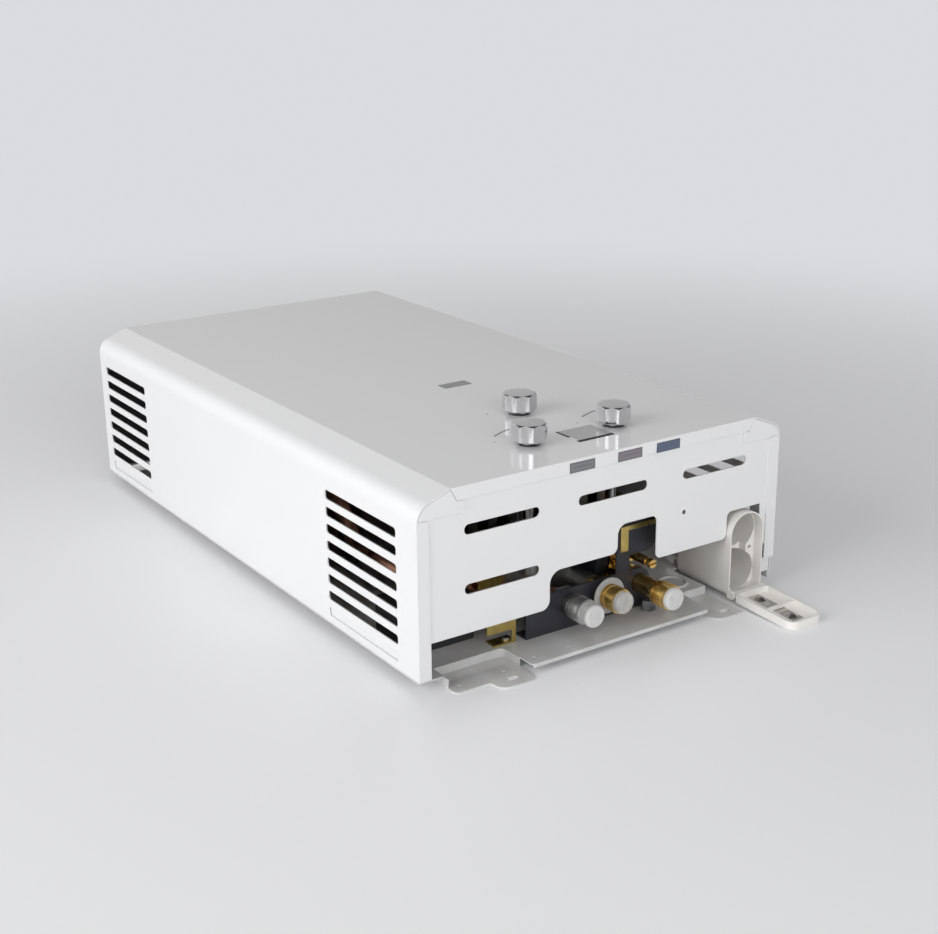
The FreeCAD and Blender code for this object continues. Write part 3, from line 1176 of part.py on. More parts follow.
def saddles():
    """Two folded steel saddles with screw feet between the floor and the heat exchanger."""
    half = SADDLE_L / 2
    out = []
    for y in saddle_starts():
        channel = box(-half, half, y, y + SADDLE_W, FLOOR_TOP, CORE_Z0)
        channel = channel.cut(box(-half - 1, half + 1, y + SHEET, y + SADDLE_W - SHEET, 0, CORE_Z0 - SHEET))
        shapes = [channel]
        holes = []
        mid = y + SADDLE_W / 2
        for side in (-1, 1):
            shapes.append(box(*sorted((side * (half - SHEET), side * half)), y, y + SADDLE_W, FLOOR_TOP,
                              CORE_Z0))
            shapes.append(box(*sorted((side * (half - SHEET), side * (half + FOOT_L))), mid - FOOT_W / 2,
                              mid + FOOT_W / 2, FLOOR_TOP, FLOOR_TOP + SHEET))
            holes.append(rod(SCREW_R + PIN_PLAY, (side * (half + FOOT_L / 2), mid, FLOOR_Z), (0, 0, 1),
                             4 * SHEET))
        out.append(fuse(shapes).cut(Part.makeCompound(holes)))
    return Part.makeCompound(out)


# ---------------------------------------------------------------- water pipes
def cold_pipe():
    """Copper pipe from the water valve to the heat exchanger."""
    start = HOUSING_X + RUBBER_T + HOUSING_T + OUTLET_BOSS_L
    return pipe([(start, VALVE_Y, VALVE_Z), (WRAP_X, VALVE_Y, VALVE_Z), (WRAP_X, JOINT_NEAR_Y, VALVE_Z)],
                TUBE_R, TUBE_BEND)


def hot_pipe():
    """Copper pipe from the heat exchanger down the left side to the hot outlet."""
    hot_x = CONNECTION["hot"][0]
    high = PASS_Z[-1]
    points = [(hot_x, FITTING_BACK["hot"], PIPE_Z), (hot_x, HOT_ELBOW_Y, PIPE_Z),
              (HOT_RISE_X[0], HOT_ELBOW_Y, PIPE_Z),
              (HOT_RISE_X[1], HOT_ELBOW_Y, HOT_LEVEL_Z), (-HOT_X, HOT_ELBOW_Y, HOT_LEVEL_Z),
              (-HOT_X, Y_NEAR + HOT_CLIMB[0], HOT_LEVEL_Z), (-HOT_X, Y_NEAR + HOT_CLIMB[1], high),
              (-HOT_X, JOINT_FAR_Y, high)]
    return pipe(points, TUBE_R, HOT_BEND)


def union_nut(x, y, z):
    """Union nut along Y round one pipe joint."""
    body = hexagon(UNION_AF, (x, y - UNION_T / 2, z), UNION_T)
    return body.cut(rod(TUBE_R + PIN_PLAY, (x, y - UNION_T, z), (0, 1, 0), 2 * UNION_T))


def union_nuts():
    """The two union nuts of the heat exchanger."""
    return Part.makeCompound([union_nut(WRAP_X, JOINT_NEAR_Y, VALVE_Z),
                              union_nut(-HOT_X, JOINT_FAR_Y, PASS_Z[-1])])


# ---------------------------------------------------------------- battery case and door
def case_outline(inset):
    """Arched outline of the battery case, moved inwards by inset."""
    a = BOX_W / 2 - inset
    foot, arch = BOX_FOOT_R - inset, BOX_ARCH_R - inset
    return [(BOX_X - a, BOX_Z0 + inset, foot), (BOX_X + a, BOX_Z0 + inset, foot),
            (BOX_X + a, BOX_Z1 - inset, arch), (BOX_X - a, BOX_Z1 - inset, arch)]


def droop(shape):
    """Turns a piece of the level door down about its hinge to where it rests."""
    turned = shape.copy()
    turned.rotate(V(BOX_X, HINGE_Y, HINGE_Z), V(1, 0, 0), DOOR_DROOP)
    return turned


def battery_case():
    """Moulded case for two D cells with a recessed rim, hinge ears and a fixing tab."""
    z_mid = BOX_Z0 + BOX_H / 2
    body = across_y(case_outline(0), BOX_Y0, BOX_Y1 - BOX_Y0)
    cutters = [across_y(case_outline(CASE_RIM), BOX_Y0 - 1, CASE_RIM_DEPTH + 1)]
    width, height, low, depth = LATCH_SLIT
    cutters.append(box(BOX_X - BOX_W / 2 - 1, BOX_X - BOX_W / 2 + depth, Y_NEAR + SHEET, Y_NEAR + SHEET + width,
                       low, low + height))
    for z in CELL_Z:
        cutters.append(rod(CELL_R + CELL_GAP, (BOX_X, BOX_Y0 - 1, z), (0, 1, 0), CELL_DEPTH + 1))
    cutters.append(box(BOX_X - CASE_WEB_W / 2, BOX_X + CASE_WEB_W / 2, BOX_Y0 - 1, BOX_Y0 + CASE_WEB_DEPTH,
                       *CELL_Z))
    cutters.append(rod(CASE_HOLE_R, (BOX_X + CASE_HOLE_X, BOX_Y0 - 1, z_mid), (0, 1, 0),
                       CASE_HOLE_DEPTH + 1))
    shapes = [body.cut(Part.makeCompound(cutters))]
    for side in (-1, 1):
        x0, x1 = sorted((BOX_X + side * EAR_X, BOX_X + side * (EAR_X + EAR_W)))
        shapes.append(box(x0, x1, HINGE_Y, BOX_Y0 + EAR_DEPTH, HINGE_Z - EAR_R, HINGE_Z + EAR_R))
        shapes.append(rod(EAR_R, (x0, HINGE_Y, HINGE_Z), (1, 0, 0), EAR_W))
    shapes.append(box(BOX_X - TAB_W / 2, BOX_X + TAB_W / 2, BOX_Y1 - CASE_WALL / 2, BOX_Y1 + TAB_L, FLOOR_TOP,
                      FLOOR_TOP + TAB_T))
    pin = rod(HINGE_PIN_R + HINGE_PLAY, (BOX_X - BOX_W, HINGE_Y, HINGE_Z), (1, 0, 0), 2 * BOX_W)
    screw = rod(SCREW_R + PIN_PLAY, (BOX_X, BOX_Y1 + TAB_L / 2, 0), (0, 0, 1), 2 * FLOOR_TOP)
    return fuse(shapes).cut(pin).cut(screw)


def battery_door():
    """Tray-shaped door, open and level, with its rib, hinge barrel and two moulded pins."""
    low, high = HINGE_Z - DOOR_T / 2, HINGE_Z + DOOR_T / 2
    tray = []
    for inset, z in ((0, low), (DOOR_WALL, low + DOOR_FLOOR)):
        x0, x1 = BOX_X - BOX_W / 2 + inset, BOX_X + BOX_W / 2 - inset
        y0, y1 = DOOR_TIP_Y + inset, DOOR_ROOT_Y - inset
        tray.append(across_z([(x0, y1, DOOR_ROOT_R), (x0, y0, DOOR_CORNER_R - inset),
                              (x1, y0, DOOR_CORNER_R - inset), (x1, y1, DOOR_ROOT_R)], z, DOOR_T))
    y_mid = (DOOR_ROOT_Y + DOOR_TIP_Y) / 2
    rib = box(BOX_X - BOX_W / 2 + DOOR_WALL / 2, BOX_X + BOX_W / 2 - DOOR_WALL / 2, y_mid - RIB_T / 2,
              y_mid + RIB_T / 2, low + DOOR_FLOOR / 2, high - RIB_DROP)
    under = low + DOOR_FLOOR
    rib = rib.cut(box(BOX_X - CONTACT_W / 2 - SEAM, BOX_X + CONTACT_W / 2 + SEAM, y_mid - RIB_T,
                      y_mid + RIB_T, under, under + CONTACT_T + SEAM))
    half = EAR_X - TURN_GAP
    barrel = rod(EAR_R, (BOX_X - half, HINGE_Y, HINGE_Z), (1, 0, 0), 2 * half)
    tongue = box(BOX_X - half, BOX_X + half, DOOR_ROOT_Y - DOOR_WALL / 2, HINGE_Y, HINGE_Z - EAR_R,
                 HINGE_Z + EAR_R)
    reach = EAR_X + EAR_W - SEAM
    pins = rod(HINGE_PIN_R, (BOX_X - reach, HINGE_Y, HINGE_Z), (1, 0, 0), 2 * reach)
    return fuse([tray[0].cut(tray[1]), rib, barrel, tongue, pins])


def door_contact():
    """Strip that bridges the two cells, with a domed contact for each."""
    low = HINGE_Z - DOOR_T / 2 + DOOR_FLOOR
    centres = [HINGE_Y - (z - HINGE_Z) for z in CELL_Z]
    strip = box(BOX_X - CONTACT_W / 2, BOX_X + CONTACT_W / 2, min(centres) - CONTACT_END,
                max(centres) + CONTACT_END, low, low + CONTACT_T)
    domes = [Part.makeCone(CONTACT_W / 2, DOME_R, DOME_H, V(BOX_X, y, low + CONTACT_T / 2), V(0, 0, 1))
             for y in centres]
    return fuse([strip] + domes)


def cell_contacts():
    """Contact plate and conical spring at the bottom of each cell bore."""
    y = BOX_Y0 + CELL_DEPTH - CONTACT_T
    out = []
    for z in CELL_Z:
        plate = rod(CELL_CONTACT_R, (BOX_X, y, z), (0, 1, 0), CONTACT_T)
        spring = Part.makeCone(SPRING_TIP_R, SPRING_R, SPRING_R, V(BOX_X, y - SPRING_R, z), V(0, 1, 0))
        out.append(plate.fuse(spring))
    return Part.makeCompound(out)


# ---------------------------------------------------------------- ignition, sensors and leads
def igniter():
    """Ignition and flame-control box on the floor."""
    x, y = IGNITER_POS
    body = across_z(frame_corners(x, y, IGNITER_W, IGNITER_L, IGNITER_EDGE_R), FLOOR_TOP, IGNITER_H)
    rim = [e for e in body.Edges if e.BoundBox.ZMin > IGNITER_TOP - 0.01]
    return body.makeChamfer(IGNITER_CHAMFER, rim)


def gold_angle():
    """Chromated angle on the floor in front of the igniter, screwed down by its foot."""
    low, high = GOLD_BAR_Z
    leg = GOLD_FOOT_X1 - GOLD_LEG_W
    corners = [(GOLD_X0, GOLD_TOP_Z, 0), (GOLD_X0, high, 0), (GOLD_BAR_X0, high, 0), (GOLD_BAR_X0, low, 0),
               (leg, low, 0), (leg, FLOOR_TOP, 0),
               (GOLD_FOOT_X1, FLOOR_TOP, 0), (GOLD_FOOT_X1, high, 0), (GOLD_X0 + GOLD_W, high, 0),
               (GOLD_X0 + GOLD_W, GOLD_TOP_Z, 0)]
    upright = across_y(corners, GOLD_Y, BRACKET_T)
    strip = box(IGNITER_X1 + 1, GOLD_FOOT_X1, GOLD_Y, GOLD_Y + GOLD_FOOT_W, FLOOR_TOP, FLOOR_TOP + BRACKET_T)
    x, y, _ = floor_screws()[2]
    return fuse([upright, strip]).cut(rod(SCREW_R + PIN_PLAY, (x, y, 0), (0, 0, 1), GOLD_TOP_Z))


def electrodes():
    """Spark electrode and flame sensor: ceramic bodies with a collar and a wire tip."""
    top = CORE_Z1 + CERAMIC_RISE
    out = []
    for x in ELECTRODE_X:
        y = CORE_Y0 + ELECTRODE_Y
        ceramic = rod(CERAMIC_R, (x, y, top - CERAMIC_L), (0, 0, 1), CERAMIC_L)
        collar_ring = rod(FLANGE_R, (x, y, CORE_Z1), (0, 0, 1), FLANGE_T)
        needle = rod(NEEDLE_R, (x, y, top - CERAMIC_L - NEEDLE_L), (0, 0, 1), NEEDLE_L + 1)
        out.append(fuse([ceramic, collar_ring, needle]))
    return Part.makeCompound(out)


def overheat_switch():
    """Disc thermostat with a stepped can on top of the chamber."""
    x, y = CUTOUT_POS[0], CORE_Y0 + CUTOUT_POS[1]
    flange = rod(CUTOUT_R + CUTOUT_STEP, (x, y, CORE_Z1), (0, 0, 1), CUTOUT_STEP)
    return fuse([flange, rod(CUTOUT_R, (x, y, CORE_Z1), (0, 0, 1), CUTOUT_H)])


def ignition_lead():
    """High-tension lead from the igniter to the spark electrode."""
    x0, y0 = LEAD_END["ignition"]
    x1, y1 = ELECTRODE_X[0], CORE_Y0 + ELECTRODE_Y
    return pipe([(x0, y0, IGNITER_TOP), (x0, y0, LEAD_TOP_Z), (x0, y1, LEAD_TOP_Z), (x1, y1, LEAD_TOP_Z),
                 (x1, y1, CORE_Z1 + CERAMIC_RISE)], LEAD_R, LEAD_TIP_BEND)


def signal_leads():
    """Leads from the display board and from the flow switch to the igniter."""
    x0, y0 = LEAD_END["display"]
    board_x = DISPLAY_POS[0] - DISPLAY_W / 4
    display = pipe([(board_x, y0, DISPLAY_LOW - BOARD_T), (board_x, y0, LEAD_DISPLAY_Z),
                    (x0, y0, LEAD_DISPLAY_Z), (x0, y0, IGNITER_TOP)], LEAD_R, LEAD_BEND)
    x1, y1 = LEAD_END["switch"]
    switch_x = LEVER_X + SWITCH_L / 4 - SWITCH_L
    switch = pipe([(switch_x, y1, LEAD_SWITCH_Z), (x1, y1, LEAD_SWITCH_Z), (x1, y1, IGNITER_TOP)], LEAD_R,
                  LEAD_BEND)
    return Part.makeCompound([display, switch])


# ---------------------------------------------------------------- fasteners
def screw(x, y, z, axis):
    """Pan-head screw: head outwards from its seat along axis, shank the other way."""
    out = V(*axis)
    seat = V(x, y, z)
    head = Part.makeCylinder(SCREW_HEAD_R, SCREW_HEAD_H, seat, out)
    return head.fuse(Part.makeCylinder(SCREW_R, SCREW_L, seat, out * -1)).removeSplitter()


def rim_screws():
    """X and Z of the screws through the rims at the exhaust end."""
    x = HALF_W - FLANGE_W / 2
    return [(side * x, z) for side in (-1, 1) for z in RIM_SCREW_Z]


def screws():
    """All pan-head screws: floor, valve housing and exhaust end."""
    out = [screw(x, y, z, (0, 0, 1)) for x, y, z in floor_screws()]
    out += [screw(HOUSING_X - HOUSING_EAR_T, y, z, (-1, 0, 0)) for y, z in ear_centres()]
    out += [screw(x, Y_FAR, z, (0, 1, 0)) for x, z in rim_screws()]
    return Part.makeCompound(out)


def cover_stud():
    """Hexagonal zinc stud on the lip of the wall plate."""
    x, y = STUD_POS
    r = STUD_AF / math.sqrt(3)
    corners = [(x + r * math.cos(math.radians(60 * k)), y + r * math.sin(math.radians(60 * k)), 0)
               for k in range(6)]
    return across_z(corners, FLOOR_TOP, STUD_H)


def build_casing():
    """Cover, panels, wall plate, markers and windows."""
    keep("front_cover", front_cover())
    keep("inlet_panel", inlet_panel())
    keep("exhaust_panel", exhaust_panel())
    keep("wall_plate", wall_plate())
    for name in MARKER_X:
        keep(name + "_marker", marker(name))
    keep("display_lens", lens(DISPLAY_POS, DISPLAY_W, DISPLAY_L))
    keep("display_board", display_board())
    keep("sight_window", lens(SIGHT_POS, SIGHT_W, SIGHT_L))


def build_knobs():
    """Three knobs, each with its collar and its spindle."""
    tops = {"gas": GAS_BOSS_TOP, "water": WATER_BOSS_TOP, "season": SEASON_BOSS_TOP}
    for name, (x, y) in KNOB_POS.items():
        grip = knob()
        grip.rotate(V(0, 0, 0), V(0, 0, 1), KNOB_TURN[name])
        keep(name + "_knob", grip.translated(V(x, y, KNOB_Z)))
        keep(name + "_collar", collar().translated(V(x, y, FRONT_Z)))
        keep(name + "_spindle", spindle(tops[name] - SPINDLE_DEPTH).translated(V(x, y, 0)))


def build_connections():
    """Three fittings with their caps, the bracket and what sits beside them."""
    for name in CONNECTION:
        keep(name + "_fitting", connection(name, FITTING_BACK[name]))
        keep(name + "_cap", cap(name))
    keep("gas_disc", gas_disc())
    keep("connection_bracket", connection_bracket())
    keep("valve_shield", valve_shield())
    keep("drain_screw", drain_screw())
    keep("cover_stud", cover_stud())
    keep("gold_angle", gold_angle())


def build_water_side():
    """Water valve with its interlock, pipes and heat exchanger."""
    keep("water_valve_body", water_valve_body())
    keep("water_valve_cover", water_valve_cover())
    keep("valve_diaphragm", diaphragm())
    keep("thrust_pin", thrust_pin())
    keep("flow_switch", flow_switch())
    keep("switch_lever", switch_lever())
    keep("cold_pipe", cold_pipe())
    keep("hot_pipe", hot_pipe())
    keep("union_nuts", union_nuts())
    keep("exchanger_tube", exchanger_tube())


def build_gas_side():
    """Gas valve, burner, chamber, hood and ignition."""
    keep("gas_valve", gas_valve())
    keep("gas_solenoid", solenoid())
    keep("gas_manifold", manifold())
    keep("gas_jets", jets())
    keep("burner_row", burner_row())
    keep("combustion_chamber", combustion_chamber())
    keep("fin_pack", fin_pack())
    keep("exhaust_hood", exhaust_hood())
    keep("core_saddles", saddles())
    keep("igniter", igniter())
    keep("electrodes", electrodes())
    keep("overheat_switch", overheat_switch())
    keep("ignition_lead", ignition_lead())
    keep("signal_leads", signal_leads())
    keep("screws", screws())


def build_battery_case():
    """Case for the two cells with its door and contacts."""
    keep("battery_case", battery_case())
    keep("battery_door", droop(battery_door()))
    keep("door_contact", droop(door_contact()))
    keep("cell_contacts", cell_contacts())


build_casing()
build_knobs()
build_connections()
build_water_side()
build_gas_side()
build_battery_case()

os.makedirs("parts", exist_ok=True)
for node, shape in PARTS.items():
    shape.exportStep("parts/%s.step" % node)
    print(node, len(shape.Solids), round(shape.Volume), shape.isValid())
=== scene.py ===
import json
import logging
import math
from dataclasses import dataclass, field
from enum import Enum
from typing import ClassVar, Iterable, Mapping, Sequence, Union

import bmesh
import bpy
from mathutils import Matrix, Vector

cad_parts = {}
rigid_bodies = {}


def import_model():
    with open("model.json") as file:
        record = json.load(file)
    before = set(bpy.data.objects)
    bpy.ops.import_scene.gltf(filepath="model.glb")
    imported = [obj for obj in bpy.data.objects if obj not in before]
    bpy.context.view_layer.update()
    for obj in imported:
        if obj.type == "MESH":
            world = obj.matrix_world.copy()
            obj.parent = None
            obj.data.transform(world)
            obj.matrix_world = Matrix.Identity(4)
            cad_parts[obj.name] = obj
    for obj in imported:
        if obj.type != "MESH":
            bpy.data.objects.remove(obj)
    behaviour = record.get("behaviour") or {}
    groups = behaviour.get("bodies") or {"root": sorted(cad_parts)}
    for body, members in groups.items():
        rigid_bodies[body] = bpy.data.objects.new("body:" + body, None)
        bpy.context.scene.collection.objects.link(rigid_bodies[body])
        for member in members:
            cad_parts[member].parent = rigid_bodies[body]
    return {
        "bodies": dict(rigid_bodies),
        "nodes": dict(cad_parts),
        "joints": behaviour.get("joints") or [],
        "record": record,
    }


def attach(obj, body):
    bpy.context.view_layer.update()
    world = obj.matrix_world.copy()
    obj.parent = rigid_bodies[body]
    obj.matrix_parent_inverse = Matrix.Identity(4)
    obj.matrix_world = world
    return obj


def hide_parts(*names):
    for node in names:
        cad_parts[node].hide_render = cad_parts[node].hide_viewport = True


MM = 0.001
LOG = logging.getLogger("water_heater")

Colour = tuple[float, float, float]
Point = tuple[float, float, float]
Pair = tuple[float, float]


# ------------ node trees
class Signal:
    """One output socket of a node tree; arithmetic on it adds Math nodes."""

    def __init__(self, tree: "NodeTree", socket: bpy.types.NodeSocket | None) -> None:
        """Wraps an output socket, or None for a node that ends a tree."""
        self.tree = tree
        self.socket = socket

    def _math(self, operation: str, *terms: "Term") -> "Signal":
        """Adds one Math node over the terms."""
        return self.tree.node("ShaderNodeMath", {"operation": operation}, dict(enumerate(terms)))

    def __add__(self, other: "Term") -> "Signal":
        """self + other."""
        return self._math("ADD", self, other)

    def __radd__(self, other: "Term") -> "Signal":
        """other + self."""
        return self._math("ADD", other, self)

    def __sub__(self, other: "Term") -> "Signal":
        """self - other."""
        return self._math("SUBTRACT", self, other)

    def __rsub__(self, other: "Term") -> "Signal":
        """other - self."""
        return self._math("SUBTRACT", other, self)

    def __mul__(self, other: "Term") -> "Signal":
        """self * other."""
        return self._math("MULTIPLY", self, other)

    def __rmul__(self, other: "Term") -> "Signal":
        """other * self."""
        return self._math("MULTIPLY", other, self)

    def __pow__(self, other: "Term") -> "Signal":
        """self ** other."""
        return self._math("POWER", self, other)

    def __rpow__(self, other: "Term") -> "Signal":
        """other ** self."""
        return self._math("POWER", other, self)

    def __gt__(self, other: "Term") -> "Signal":
        """1 where self is above other."""
        return self._math("GREATER_THAN", self, other)

    def __lt__(self, other: "Term") -> "Signal":
        """1 where self is below other."""
        return self._math("LESS_THAN", self, other)

    def __abs__(self) -> "Signal":
        """The absolute value."""
        return self._math("ABSOLUTE", self)

    def sine(self) -> "Signal":
        """The sine of an angle in radians."""
        return self._math("SINE", self)

    def largest(self, other: "Term") -> "Signal":
        """The larger of self and other."""
        return self._math("MAXIMUM", self, other)


Term = Union[Signal, float, int]
Value = Union[Signal, float, int, bool, tuple, bpy.types.ID]


class NodeTree:
    """A node tree that is written from Python."""

    def __init__(self, tree: bpy.types.NodeTree) -> None:
        """Wraps an empty tree."""
        self.tree = tree

    def node(self, kind: str, settings: Mapping[str, object] | None = None,
             inputs: Mapping[str | int, Value] | None = None, output: str | int = 0) -> Signal:
        """Adds a node of any type.

        Args:
            kind: The node's type name.
            settings: Its properties, set first; "stops" holds a colour ramp's stops.
            inputs: Values or links by socket name or number.
            output: The socket that the returned signal reads.

        Returns:
            The chosen output.
        """
        made = self.tree.nodes.new(kind)
        for key, value in (settings or {}).items():
            if key == "stops":
                self._set_stops(made.color_ramp, value)
            else:
                setattr(made, key, value)
        for key, value in (inputs or {}).items():
            if isinstance(value, Signal):
                self.tree.links.new(value.socket, made.inputs[key])
            else:
                made.inputs[key].default_value = value
        return Signal(self, made.outputs[output] if made.outputs else None)

    def glow(self, kind: str, colour: Colour, strength: Term = 1.0) -> Signal:
        """A Background or Emission shader."""
        return self.node(kind, inputs={"Color": (*colour, 1.0), "Strength": strength})

    def other(self, signal: Signal, output: str | int) -> Signal:
        """Another output of the node behind a signal."""
        return Signal(self, signal.socket.node.outputs[output])

    @staticmethod
    def _set_stops(ramp: bpy.types.ColorRamp, stops: Sequence[tuple[float, Colour]]) -> None:
        """Gives a colour ramp its stops.

        Args:
            ramp: The ramp.
            stops: Positions from 0 to 1 with their colours.
        """
        while len(ramp.elements) < len(stops):
            ramp.elements.new(1.0)
        for element, (position, colour) in zip(ramp.elements, stops):
            element.position = position
            element.color = (*colour, 1.0)


class ShaderTree(NodeTree):
    """The node tree of one material round a Principled shader."""

    def __init__(self, name: str, constants: Mapping[str, float | Colour]) -> None:
        """Starts a material.

        Args:
            name: The material's name.
            constants: Values that are the same all over the surface, by shader socket.
        """
        self.material = bpy.data.materials.new(name)
        self.material.use_nodes = True
        super().__init__(self.material.node_tree)
        self.tree.nodes.clear()
        self.shader = self.tree.nodes.new("ShaderNodeBsdfPrincipled")
        for socket, value in constants.items():
            self.shader.inputs[socket].default_value = (*value, 1.0) if isinstance(value, tuple) else value
        self.output = self.tree.nodes.new("ShaderNodeOutputMaterial")
        self.tree.links.new(self.shader.outputs[0], self.output.inputs[0])
        self.place = self.node("ShaderNodeTexCoord", output="Object")
        split = self.node("ShaderNodeSeparateXYZ", inputs={0: self.place})
        self.x, self.y, self.z = (self.other(split, axis) for axis in "XYZ")

    def feed(self, socket: str, signal: Signal) -> None:
        """Links a signal into one of the shader's sockets."""
        self.tree.links.new(signal.socket, self.shader.inputs[socket])

    def noise(self, size: float, detail: float = 2.0, stretch: Point = (1.0, 1.0, 1.0)) -> Signal:
        """Cloudy noise about 0.5.

        Args:
            size: Distance between waves in metres.
            detail: Octaves.
            stretch: How much finer the noise is along each axis.

        Returns:
            The noise.
        """
        place = self.place
        if stretch != (1.0, 1.0, 1.0):
            place = self.node("ShaderNodeMapping", inputs={"Vector": place, "Scale": stretch})
        return self.node("ShaderNodeTexNoise", inputs={"Vector": place, "Scale": 1 / size, "Detail": detail})

    def cells(self, size: float, feature: str = "F1") -> Signal:
        """Distance within cells of a size in metres, with their colour on the same node."""
        inputs = {"Vector": self.place, "Scale": 1 / size}
        return self.node("ShaderNodeTexVoronoi", {"feature": feature}, inputs)

    def mix(self, factor: Term, low: Value, high: Value) -> Signal:
        """Blends two colours or signals; the factor is 0 for low and 1 for high."""
        ends = [(*end, 1.0) if isinstance(end, tuple) else end for end in (low, high)]
        return self.node("ShaderNodeMix", {"data_type": "RGBA"}, {0: factor, 6: ends[0], 7: ends[1]}, 2)

    def ramp(self, factor: Signal, stops: Sequence[tuple[float, Colour]]) -> Signal:
        """Colour ramp over a signal."""
        return self.node("ShaderNodeValToRGB", {"stops": stops}, {0: factor})

    def rise(self, signal: Signal, start: float, end: float) -> Signal:
        """Grows from 0 where a signal is at the start to 1 where it is at the end."""
        return self.node("ShaderNodeMapRange", inputs={0: signal, 1: start, 2: end})

    def edges(self, radius: float) -> tuple[Signal, Signal]:
        """Softened edges.

        Args:
            radius: Radius of the edges in metres.

        Returns:
            The softened normal, and a mask that is 1 along the edges.
        """
        soft = self.node("ShaderNodeBevel", {"samples": 4}, {"Radius": radius})
        flat = self.node("ShaderNodeNewGeometry", output="True Normal")
        along = self.node("ShaderNodeVectorMath", {"operation": "DOT_PRODUCT"}, {0: soft, 1: flat}, "Value")
        return soft, self.rise(1 - along, 0.0, 0.12)

    def skin(self, colour: Signal, roughness: Signal, height: Signal, depth: float,
             normal: Signal | None = None) -> None:
        """Feeds the colour, the roughness and a bump into the shader.

        Args:
            colour: The base colour.
            roughness: The roughness.
            height: The relief from 0 to 1.
            depth: What 1 stands for, in metres.
            normal: The normal that the relief starts from.
        """
        self.feed("Base Color", colour)
        self.feed("Roughness", roughness)
        inputs: dict[str | int, Value] = {"Height": height, "Distance": depth}
        if normal is not None:
            inputs["Normal"] = normal
        self.feed("Normal", self.node("ShaderNodeBump", inputs=inputs))


